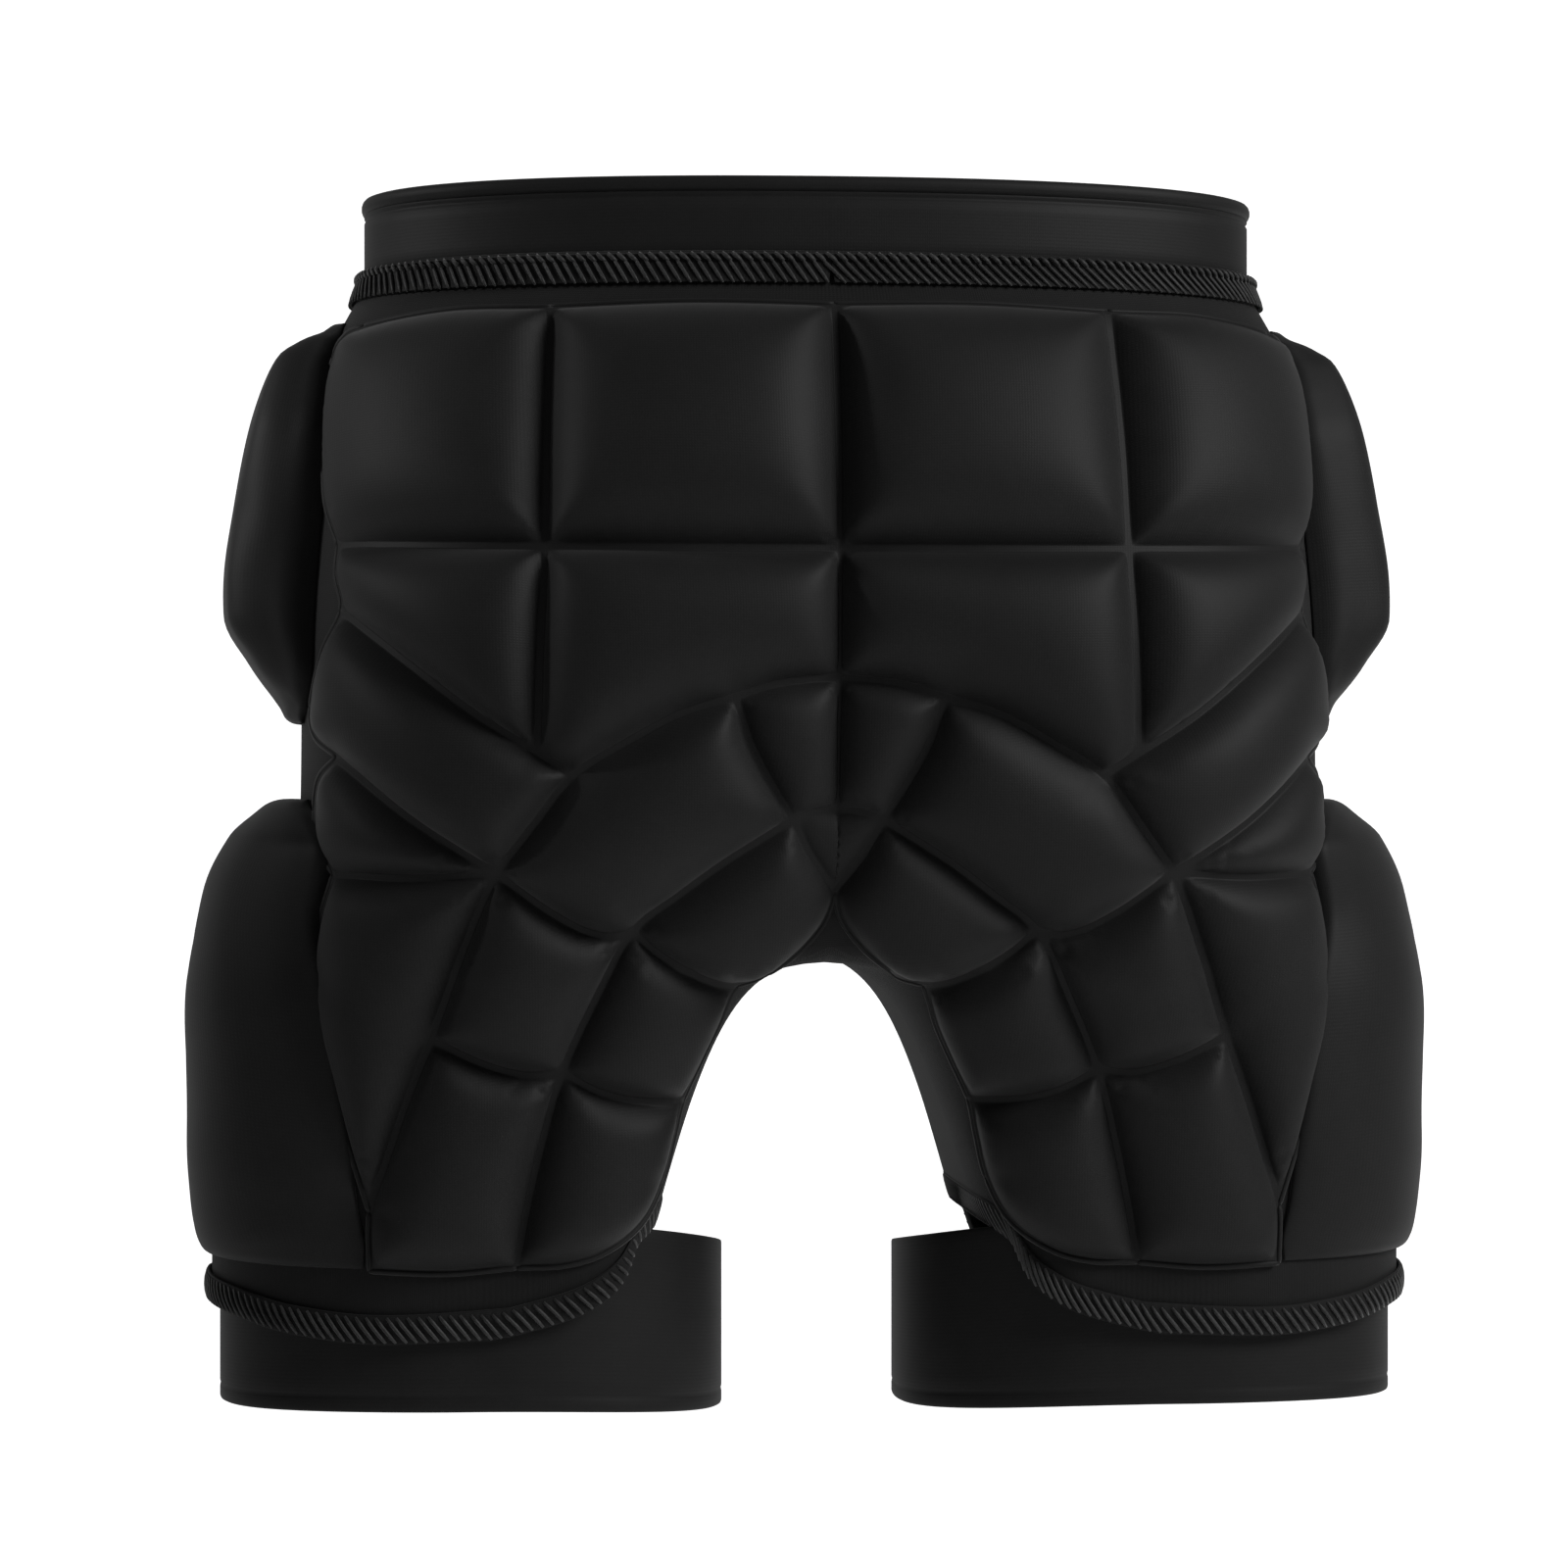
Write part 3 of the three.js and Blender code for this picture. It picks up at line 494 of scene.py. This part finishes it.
def smooth_line(stops):
    """A smooth line through points, with a point about every 1.6 mm, and where its stops are in it."""
    before = 2 * stops[0] - stops[1]
    after = 2 * stops[-1] - stops[-2]
    padded = np.vstack([before, stops, after])
    line = []
    places = [0]
    for i in range(1, len(padded) - 2):
        a, b, c, d = padded[i - 1:i + 3]
        count = max(2, round(float(np.linalg.norm(c - b)) / 1.6))
        for t in np.arange(count) / count:
            line.append(0.5 * (2 * b + (c - a) * t + (2 * a - 5 * b + 4 * c - d) * t**2
                               + (3 * b - a - 3 * c + d) * t**3))
        places.append(len(line))
    return np.array(line + [stops[-1]]), places


def read_seams():
    """Every seam between two junctions, by the junctions' names."""
    junctions = {}
    seams = {}
    for text in SEAM_LINES:
        names = []
        stops = []
        for word in text.split():
            parts = word.split(",")
            if parts[0][0].isalpha():
                if len(parts) == 3:
                    junctions[parts[0]] = np.array([float(parts[1]), float(parts[2])])
                names.append(parts[0])
                stops.append(junctions[parts[0]])
            else:
                names.append(None)
                stops.append(np.array([float(parts[0]), float(parts[1])]))
        line, places = smooth_line(np.array(stops))
        known = [i for i, name in enumerate(names) if name]
        for i, j in zip(known, known[1:]):
            seams[(names[i], names[j])] = line[places[i]:places[j] + 1]
    return junctions, seams


def line_distance(points, line):
    best = np.full(len(points), 1e9)
    for start, end in zip(line[:-1], line[1:]):
        way = end - start
        t = np.clip((points - start) @ way / (way @ way), 0, 1)
        best = np.minimum(best, np.hypot(*(points - start - t[:, None] * way).T))
    return best


def inside_outline(points, ring):
    inside = np.zeros(len(points), bool)
    for a, b in zip(ring, np.roll(ring, -1, axis=0)):
        if a[1] == b[1]:
            continue
        crosses = (a[1] > points[:, 1]) != (b[1] > points[:, 1])
        at = a[0] + (points[:, 1] - a[1]) * (b[0] - a[0]) / (b[1] - a[1])
        inside ^= crosses & (points[:, 0] < at)
    return inside


def seat_depth(x, z):
    s = section(z)
    side = np.abs(x)
    outside = side >= s["crown"]
    share = np.where(outside, (side - s["crown"]) / (s["outer"] - s["crown"]),
                     (s["crown"] - side) / (s["crown"] - s["inner"]))
    power = np.where(outside, ROUNDNESS, s["square"])
    return -s["back"] * (1 - np.minimum(share, 0.999) ** power) ** (1 / power)


def seat_point(x, z, rise):
    across = (seat_depth(x + 1, z) - seat_depth(x - 1, z)) / 2
    down = (seat_depth(x, z + 8) - seat_depth(x, z - 8)) / 16
    normal = np.stack([across, -np.ones_like(across), down], axis=-1)
    normal /= np.linalg.norm(normal, axis=-1, keepdims=True)
    normal[np.abs(x) < 1e-6, 0] = 0
    return np.stack([x, seat_depth(x, z), z], axis=-1) + normal * rise[:, None]


def cell_profile(distance):
    """Share of the full rise at a distance from one seam: a round shoulder, then a broad dome."""
    free = np.maximum(distance - GROOVE_HALF, 0)
    return 0.5 * (1 - np.exp(-free / 5.5)) ** 1.2 + 1.1 * (1 - np.exp(-free / 30))


def make_seat_padding():
    junctions, lines = read_seams()

    def side(a, b):
        return (a, b) if (a, b) in lines else (b, a)

    cells = []
    for rise, corners in CELLS:
        names = corners.split()
        sides = []
        ring = []
        for a, b in zip(names, names[1:] + names[:1]):
            key = side(a, b)
            if key not in lines:
                ring.append([junctions[a]])
                continue
            sides.append(key)
            line = lines[key] if key == (a, b) else lines[key][::-1]
            ring.append(line[:-1])
        cells.append((rise, sides, np.vstack(ring)))

    # Rows of points beside every seam, then an even field of points inside the cells
    rows = []
    for line in lines.values():
        way = np.gradient(line, axis=0)
        way /= np.linalg.norm(way, axis=1, keepdims=True)
        aside = np.stack([-way[:, 1], way[:, 0]], axis=-1)
        for distance in (0.8, 1.15, 1.8, 2.9, 4.4):
            for sign in (-1, 1):
                rows.append((distance, line + sign * distance * aside))
    every_line = list(lines.values())
    near = np.vstack([points for _, points in rows])
    wanted = np.concatenate([np.full(len(points), distance) for distance, points in rows])
    nearest = np.min([line_distance(near, line) for line in every_line], axis=0)
    near = near[(nearest > wanted * 0.93) & (near[:, 0] > 0.4)]
    gx, gz = np.meshgrid(np.arange(0.6, 184, CELL_GRID), np.arange(-374, -30, CELL_GRID * 0.866))
    gx = gx + (np.arange(gx.shape[0]) % 2)[:, None] * CELL_GRID / 2
    field = np.stack([gx.ravel(), gz.ravel()], axis=-1)
    reach = np.min([line_distance(field, line) for line in every_line], axis=0)
    field = field[reach > 5.6]
    loose = np.vstack([near, field])
    loose = loose[np.any([inside_outline(loose, ring) for _, _, ring in cells], axis=0)]
    spaced = []
    taken = set()
    for point in loose:
        spot = (round(point[0] / 0.3), round(point[1] / 0.3))
        if spot not in taken:
            taken.add(spot)
            spaced.append(point)
    centre_line = [(0.0, z) for z in np.arange(-209, -234, -2.0)]

    points = []
    edges = []
    index = {}

    def number(point):
        key = (round(float(point[0]), 3), round(float(point[1]), 3))
        if key not in index:
            index[key] = len(points)
            points.append(Vector(key))
        return index[key]

    for line in every_line:
        numbers = [number(point) for point in line]
        edges += [(a, b) for a, b in zip(numbers, numbers[1:]) if a != b]
    middle = [number(point) for point in [(0, -206.5), *centre_line, (0, -234.8)]]
    edges += list(zip(middle, middle[1:]))
    for point in spaced:
        number(point)
    flat, _, faces, *_ = delaunay_2d_cdt(points, edges, [], 0, 1e-5)
    flat = np.array([tuple(p) for p in flat])
    centres = np.array([flat[list(face)].mean(axis=0) for face in faces])
    owner = np.full(len(faces), -1)
    for i, (_, _, ring) in enumerate(cells):
        owner[inside_outline(centres, ring)] = i
    faces = [face for face, cell in zip(faces, owner) if cell >= 0]
    owner = owner[owner >= 0]

    # Rise of every point: all seams of its own cell pull it down, the nearest one most
    cell_of = np.zeros(len(flat), int)
    for face, cell in zip(faces, owner):
        for corner in face:
            cell_of[corner] = cell
    rise = np.zeros(len(flat))
    for i, (share, sides, _) in enumerate(cells):
        mine = np.flatnonzero(cell_of == i)
        if not len(mine):
            continue
        pulls = np.array([np.maximum(cell_profile(line_distance(flat[mine], lines[key])), 1e-3)
                          for key in sides])
        rise[mine] = share * CELL_RISE * np.sum(pulls**-3.0, axis=0) ** (-1 / 3.0)
    nearest = np.min([line_distance(flat, line) for line in every_line], axis=0)
    rise = np.where(nearest < 0.9, 0, rise)
    top = seat_point(flat[:, 0], flat[:, 1], rise + GROOVE)
    base = seat_point(flat[:, 0], flat[:, 1], np.full(len(flat), 0.2))

    bm = bmesh.new()
    held = bm.verts.layers.float.new("held")
    layer = bm.loops.layers.uv.new("cloth")
    upper = [bm.verts.new(p * MM) for p in top]
    for vert, near in zip(upper, nearest):
        vert[held] = near < 1.7
    for face in faces:
        made = bm.faces.new([upper[i] for i in face])
        for loop, i in zip(made.loops, face):
            loop[layer].uv = flat[i] * MM
    bmesh.ops.delete(bm, geom=[v for v in bm.verts if not v.link_faces], context="VERTS")
    lower = {vert: point for vert, point in zip(upper, base) if vert.is_valid}
    rim = [e for e in bm.edges if e.is_boundary and not all(abs(v.co.x) < 1e-6 for v in e.verts)]
    walls = bmesh.ops.extrude_edge_only(bm, edges=rim)
    new_verts = [g for g in walls["geom"] if isinstance(g, bmesh.types.BMVert)]
    tree = {tuple(round(c, 6) for c in vert.co): point for vert, point in lower.items()}
    for vert in new_verts:
        vert.co = Vector(tree[tuple(round(c, 6) for c in vert.co)] * MM)
        vert[held] = 1
    add_mirrored(bm, 0.00001)
    if sum(f.normal.y for f in bm.faces) > 0:
        bmesh.ops.reverse_faces(bm, faces=bm.faces)
    piece = finish_mesh(bm, "seat_padding_cells", foam_knit)
    fill_cover(piece, 1500, 0.01, 2.5)
    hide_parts("seat_padding")
    return piece


# Side pads: rows from top to foot, with their rear and front edges as shares of a quarter turn and their
# rise as a share of the full one

HIP_PAD = {"top": 0.078, "foot": 0.658, "rise": 29.5, "steep": 0.5, "shoulder": 0.99}
THIGH_PAD = {"top": 0.768, "foot": 2.075, "rise": 29, "steep": 0.26, "shoulder": 0.55}
HIP_ROWS = np.array([
    (0, 0.1, 0.16, 0), (0.03, 0.11, 0.18, 0.12), (0.07, 0.12, 0.23, 0.4), (0.11, 0.135, 0.25, 0.62),
    (0.18, 0.16, 0.28, 0.75), (0.3, 0.185, 0.3, 0.86), (0.48, 0.185, 0.31, 0.94), (0.64, 0.19, 0.31, 1),
    (0.74, 0.195, 0.3, 0.97), (0.85, 0.2, 0.27, 0.6), (0.95, 0.17, 0.22, 0.18), (1, 0.12, 0.16, 0),
])
THIGH_ROWS = np.array([
    (0, 0.2, 0.14, 0), (0.045, 0.28, 0.24, 0.52), (0.11, 0.385, 0.31, 0.8), (0.24, 0.413, 0.37, 0.97),
    (0.42, 0.538, 0.42, 0.93), (0.6, 0.644, 0.45, 0.73), (0.76, 0.726, 0.47, 0.47),
    (0.88, 0.775, 0.45, 0.24), (0.96, 0.8, 0.38, 0.12), (1, 0.795, 0.26, 0),
])


def pad_columns(pad):
    """Rise across a pad from its rear edge to its front edge."""
    return np.array([(0, 0), (0.05, pad["steep"]), (0.16, pad["shoulder"]),
                     (0.34, 0.5 + 0.5 * pad["shoulder"]**0.5), (0.52, 1), (0.7, 0.94), (0.86, 0.76),
                     (0.95, 0.42), (1, 0)])


# Thickness of a side pad's welded edge
PAD_EDGE = 3.0


def side_pad_place(pad, rows, under):
    def place(across, down):
        across = 0.5 - 0.5 * np.cos(math.pi * across)
        down = 0.5 - 0.5 * np.cos(math.pi * down)
        rear = smooth_curve(rows[:, 0], rows[:, 1], down)
        front = smooth_curve(rows[:, 0], rows[:, 2], down)
        turn = (rear + (-front - rear) * across) * math.pi / 2
        top = float(height_of(pad["top"]))
        foot = float(height_of(pad["foot"]))
        z = top + down * (foot - top)
        row_share = np.sqrt(np.maximum(smooth_curve(rows[:, 0], rows[:, 3] ** 2, down, True), 0))
        columns = pad_columns(pad)
        column_share = np.sqrt(np.maximum(smooth_curve(columns[:, 0], columns[:, 1] ** 2, across, True), 0))
        share = np.minimum(row_share * column_share, 1.02)
        rise = np.full_like(share, 0.4) if under else PAD_EDGE * np.minimum(1, share * 6 + 0.35) + share * (
            pad["rise"] - PAD_EDGE)
        base = (body_point(turn, z - 10) + 2 * body_point(turn, z) + body_point(turn, z + 10)) / 4
        return base + body_normal(turn, z) * rise[:, None]
    return place


def make_side_pad(name, pad, rows, side):
    def cloth(across, down):
        return np.stack([across * 110, down * 160], axis=-1)

    bm = placed_grid(44, 72, side_pad_place(pad, rows, False), cloth)
    mark_held(bm, True)
    under = placed_grid(44, 72, side_pad_place(pad, rows, True), cloth)
    mark_held(under, False)
    merge_bmesh(bm, under)
    loops = [e for e in bm.edges if e.is_boundary]
    bmesh.ops.bridge_loops(bm, edges=loops)
    bmesh.ops.recalc_face_normals(bm, faces=bm.faces)
    if side < 0:
        other = flipped_copy(bm)
        bm.free()
        bm = other
    piece = finish_mesh(bm, name + "_cushion", foam_knit)
    fill_cover(piece, 4, 0.3, 2.0)
    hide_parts(name)
    return piece


# Bands round the waist and the thighs

def swept_band(name, ring, profile, columns, material, node, side=1):
    """A closed band: its profile of heights and outward distances, swept round a ring."""
    stops = np.array(profile + profile[:1], float)
    lengths = np.concatenate([[0], np.cumsum(np.linalg.norm(np.diff(stops, axis=0), axis=1))])

    def place(across, down):
        row = np.clip(np.round(down * (len(stops) - 1)).astype(int), 0, len(stops) - 1)
        return ring(across, stops[row, 0], stops[row, 1])

    def cloth(across, down):
        row = np.clip(np.round(down * (len(stops) - 1)).astype(int), 0, len(stops) - 1)
        return np.stack([across * 860, lengths[row]], axis=-1)

    bm = placed_grid(columns, len(stops) - 1, place, cloth, wrap=True)
    bmesh.ops.recalc_face_normals(bm, faces=bm.faces)
    if side < 0:
        other = flipped_copy(bm)
        bm.free()
        bm = other
    piece = finish_mesh(bm, name, material)
    if node:
        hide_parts(node)
    return piece


def waist_ring(across, z, out):
    """Points round both halves of the waist; across runs once round from the back centre."""
    half = np.where(across <= 0.5, across * 2, (1 - across) * 2)
    points = body_point(math.pi / 2 * (1 - 2 * half), z, out)
    points[:, 0] *= np.where(across <= 0.5, 1, -1)
    return points


# The cuff's outer face lies inside the leg and its inner end runs free towards the other thigh. Its back
# edge stands higher than its front edge, and both ends hang lower than the middle.
CUFF_INSET = 2.9
CUFF_REACH = 28
CUFF_TILT = 8.5
INNER_DROOP = 6.0
OUTER_DROOP = 2.5


def cuff_ring(across, z, out):
    outer_reach = SECTIONS[-1, SECTION_NAMES.index("outer")] - CUFF_INSET
    inner_reach = float(inner_edge(CUFF_TOP)) - CUFF_REACH
    centre = (outer_reach + inner_reach) / 2
    depth = SECTIONS[-1, SECTION_NAMES.index("back")] - CUFF_INSET
    turn = across * 2 * math.pi
    power = 2 / ROUNDNESS
    along = np.sign(np.cos(turn)) * np.abs(np.cos(turn)) ** power
    wide = -np.sign(np.sin(turn)) * np.abs(np.sin(turn)) ** power
    reach = (outer_reach - inner_reach) / 2 + out
    droop = INNER_DROOP * np.clip(-along, 0, 1) ** 2 + OUTER_DROOP * np.clip(along, 0, 1) ** 3
    tilt = CUFF_TILT * wide * np.clip((z - CUFF_FOOT) / (CUFF_TOP - CUFF_FOOT), 0, 1)
    return np.stack([centre + along * reach, wide * (depth + out), z - droop - tilt], axis=-1)


def evenly_round(ring, z, out=0.0):
    """The shares across at which points lie evenly round a ring, and the ring's length."""
    close = 10 ** np.linspace(-9, -2.3, 90)
    corners = [spot + way * close for spot in (0.25, 0.5, 0.75) for way in (-1, 1)]
    across = np.unique(np.concatenate([np.linspace(0, 1, 1441), *corners]))
    points = ring(across, np.full(len(across), float(z)), np.full(len(across), float(out)))
    lengths = np.concatenate([[0], np.cumsum(np.linalg.norm(np.diff(points, axis=0), axis=1))])
    return (lambda share: np.interp(share, lengths / lengths[-1], across)), float(lengths[-1])


def rounded_strip(top, foot, out, wall, soft=0.8, dents=()):
    """Profile of a band with soft edges; dents are heights of sewn lines pressed into its face."""
    half = wall / 2
    face = [(top - soft, out + half)]
    for z, depth, width in dents:
        face += [(z + width, out + half), (z + width / 2, out + half - depth * 0.7),
                 (z, out + half - depth), (z - width / 2, out + half - depth * 0.7), (z - width, out + half)]
    face += [(foot + soft, out + half)]
    down = []
    for (z1, g1), (z2, g2) in zip(face, face[1:]):
        down.append((z1, g1))
        count = int(abs(z2 - z1) / 4)
        down += [(z1 + (z2 - z1) * i / (count + 1), g1 + (g2 - g1) * i / (count + 1))
                 for i in range(1, count + 1)]
    down.append(face[-1])
    under = [(foot + soft * 0.3, out + half * 0.85), (foot, out + half * 0.4), (foot, out - half * 0.4),
             (foot + soft * 0.3, out - half * 0.85), (foot + soft, out - half)]
    up = [(top - soft, out - half), (top - soft * 0.3, out - half * 0.85), (top, out - half * 0.4),
          (top, out + half * 0.4), (top - soft * 0.3, out + half * 0.85)]
    return down + under + up


def make_waist():
    roll = []
    for step in range(14):
        angle = 2 * math.pi * step / 14
        roll.append((10.7 + 2.8 * math.cos(angle), -1.0 + 2.0 * math.sin(angle)))
    swept_band("rolled_waist_hem", waist_ring, roll, 220, woven_elastic, "waist_hem")
    tape = rounded_strip(8.2, BAND_FOOT, -1.4, 2.8, dents=[(6.2, 0.7, 1.2)])
    swept_band("waistband_tape", waist_ring, tape, 220, woven_elastic, "waistband")


def make_cuff(word, side):
    tape = rounded_strip(CUFF_TOP, CUFF_FOOT, -1.3, 2.6, 0.9, dents=[(CUFF_FOOT + 5, 0.25, 1.2)])
    swept_band(f"thigh_cuff_{word}", cuff_ring, tape, 160, woven_elastic, f"cuff_{word}", side)


# Overlock stitching: slanted threads side by side, with a rope of short threads along the waist's edge

THREAD_PITCH = 3.6
THREAD_SLANT = 7.0


def thread_run(bm, path, radius, centre):
    """Adds one thread along a path of points, closed at both tips."""
    last = len(path) - 1
    made = bmesh.ops.create_grid(bm, x_segments=5, y_segments=last + 2, size=1)
    for vert in made["verts"]:
        row = round((vert.co.y + 1) / 2 * (last + 2))
        turn = (vert.co.x + 1) * math.pi
        spot = min(max(row - 1, 0), last)
        along = (path[min(spot + 1, last)] - path[max(spot - 1, 0)]).normalized()
        out = Vector((path[spot].x - centre * MM, path[spot].y, 0)).normalized()
        wide = along.cross(out).normalized()
        out = wide.cross(along)
        thick = 0 if row in (0, last + 2) else 0.7 if row in (1, last + 1) else 1
        vert.co = path[spot] + (wide * math.cos(turn) + out * math.sin(turn) * 0.8) * radius * thick


def stitch_band(name, surface, length, height, lean, side=1, centre=0, rope=False):
    """Slanted threads on a band; surface gives points from a share along, a height and a distance out."""
    bm = bmesh.new()
    count = round(length / THREAD_PITCH)
    starts = np.arange(count) / count
    wobble = np.sin(np.arange(count) * 2.399) * 0.12
    # Points a thread, its slant, its lowest and highest place, its distance out and swell, and its radius
    runs = [(5, THREAD_SLANT * lean, 0.2, height - 0.2, 0.1, 0.6, 0.68)]
    if rope:
        runs.append((4, THREAD_PITCH * 0.9 * lean, height - 1.6, height + 1.2, 0.5, 0.7, 0.8))
    for steps, slant, low, high, proud, swell, radius in runs:
        t = np.linspace(0, 1, steps)
        share = starts[:, None] + (slant * (0.5 - t)[None, :] + wobble[:, None]) / length
        up = np.broadcast_to(low + (high - low) * t, share.shape)
        out = np.broadcast_to(proud + swell * np.sin(math.pi * t), share.shape)
        points = surface(share.ravel() % 1, up.ravel(), out.ravel()).reshape(count, steps, 3) * MM
        for path in points:
            thread_run(bm, [Vector(p) for p in path], radius * MM, centre)
    bmesh.ops.remove_doubles(bm, verts=bm.verts, dist=0.000001)
    bmesh.ops.recalc_face_normals(bm, faces=bm.faces)
    if side < 0:
        other = flipped_copy(bm)
        bm.free()
        bm = other
    return finish_mesh(bm, name, spun_thread)


def make_edge_bead():
    """A thin welded bead round the padding's outline, where its knit is pressed onto the shell."""
    _, lines = read_seams()
    uses = dict.fromkeys(lines, 0)
    for _, corners in CELLS:
        names = corners.split()
        for a, b in zip(names, names[1:] + names[:1]):
            for key in ((a, b), (b, a)):
                if key in uses:
                    uses[key] += 1
    bm = bmesh.new()
    for key, line in lines.items():
        if uses[key] == 1 and line[:, 0].max() > 1:
            path = seat_point(line[:, 0], line[:, 1], np.full(len(line), GROOVE - 0.4)) * MM
            thread_run(bm, [Vector(p) for p in path], 1.1 * MM, 90)
    bmesh.ops.remove_doubles(bm, verts=bm.verts, dist=0.000001)
    add_mirrored(bm, 0.000001)
    finish_mesh(bm, "padding_edge_bead", foam_knit)


def make_waist_stitching():
    swept_band("waist_seam_tape", waist_ring, rounded_strip(SHELL_TOP, -24.3, 1.4, 1.1, 0.5),
               220, stretch_knit, "waist_stitching")
    even, length = evenly_round(waist_ring, -20)

    def surface(share, up, out):
        return waist_ring(even(share), -24.6 + up, 2.0 + out)

    stitch_band("waist_overlock", surface, length, 9.6, 1, rope=True)


def leg_turn(across):
    turn = across * 2 * math.pi
    return np.where(turn > math.pi, turn - 2 * math.pi, turn)


def leg_ring(across, z, out):
    """Points round a leg at a height above its hem; the seam tape thins out on the inner thigh."""
    turn = leg_turn(across)
    thin = np.clip((0.8 - np.abs(turn) / math.pi) / 0.2, 0.1, 1)
    return body_point(turn, hem_height(turn) + z, out * thin)


def make_leg_stitching(word, side):
    swept_band(f"leg_seam_tape_{word}", leg_ring, rounded_strip(10.5, 0.3, 1.2, 1.1, 0.4), 170,
               stretch_knit, f"leg_stitching_{word}", side)
    even, length = evenly_round(leg_ring, 5)

    def surface(share, up, out):
        return leg_ring(even(share), 0.6 + up, 1.7 + out)

    stitch_band(f"leg_overlock_{word}", surface, length, 9.2, -side, side, centre=125)


make_shell()
make_seat_padding()
make_edge_bead()
for word, side in (("left", -1), ("right", 1)):
    make_side_pad(f"hip_pad_{word}", HIP_PAD, HIP_ROWS, side)
    make_side_pad(f"thigh_pad_{word}", THIGH_PAD, THIGH_ROWS, side)
    make_cuff(word, side)
    make_leg_stitching(word, side)
make_waist()
make_waist_stitching()

# Studio: a pale swept backdrop, a pale surround and two soft lights, the stronger from the upper right


def white_to_camera(tree, socket, more, base):
    """Backdrop and surround look white but light the black cloth only faintly, which keeps its shading."""
    path = add_node(tree, "ShaderNodeLightPath")
    glow = add_node(tree, "ShaderNodeMath", {"operation": "MULTIPLY_ADD", "1": more, "2": base},
                    i0=path.outputs["Is Camera Ray"])
    tree.links.new(glow.outputs[0], socket)


paper = bpy.data.materials.new("matt_paper_backdrop")
paper.use_nodes = True
shader = paper.node_tree.nodes["Principled BSDF"]
shader.inputs["Base Color"].default_value = colour("#f6f6f6")
shader.inputs["Roughness"].default_value = 0.9
shader.inputs["Emission Color"].default_value = (1, 1, 1, 1)
white_to_camera(paper.node_tree, shader.inputs["Emission Strength"], 0.75, 0.2)
bm = bmesh.new()
bmesh.ops.create_grid(bm, x_segments=2, y_segments=24, size=1)
for vert in bm.verts:
    share = (vert.co.y + 1) / 2
    vert.co.x *= 4
    if share < 0.5:
        vert.co.y, vert.co.z = -3 + share * 8, -0.9
    else:
        angle = (share - 0.5) * math.pi
        vert.co.y, vert.co.z = 1 + 2.2 * math.sin(angle), -0.9 + 3.2 * (1 - math.cos(angle))
mesh = bpy.data.meshes.new("studio_backdrop")
for face in bm.faces:
    face.smooth = True
bm.to_mesh(mesh)
bm.free()
mesh.materials.append(paper)
backdrop = bpy.data.objects.new("studio_backdrop", mesh)
bpy.context.scene.collection.objects.link(backdrop)

world = bpy.data.worlds.new("pale_surround")
bpy.context.scene.world = world
world.use_nodes = True
surround = world.node_tree.nodes["Background"]
surround.inputs["Color"].default_value = (1, 1, 1, 1)
white_to_camera(world.node_tree, surround.inputs["Strength"], 0.9, 0.08)


def soft_light(name, place, aim, size, power, spread=180):
    data = bpy.data.lights.new(name, "AREA")
    data.spread = math.radians(spread)
    data.shape = "RECTANGLE"
    data.size = size[0]
    data.size_y = size[1]
    data.energy = power
    lamp = bpy.data.objects.new(name, data)
    lamp.location = place
    lamp.rotation_euler = (Vector(aim) - Vector(place)).to_track_quat("-Z", "Y").to_euler()
    bpy.context.scene.collection.objects.link(lamp)


soft_light("key_light", (1.6, -1.2, 0.9), (0, -0.05, -0.2), (0.9, 0.9), 34)
soft_light("rim_light", (-1.7, -0.1, 0.5), (-0.2, 0, -0.05), (0.2, 0.2), 0.1, 13)

bpy.context.scene.view_settings.view_transform = "Standard"
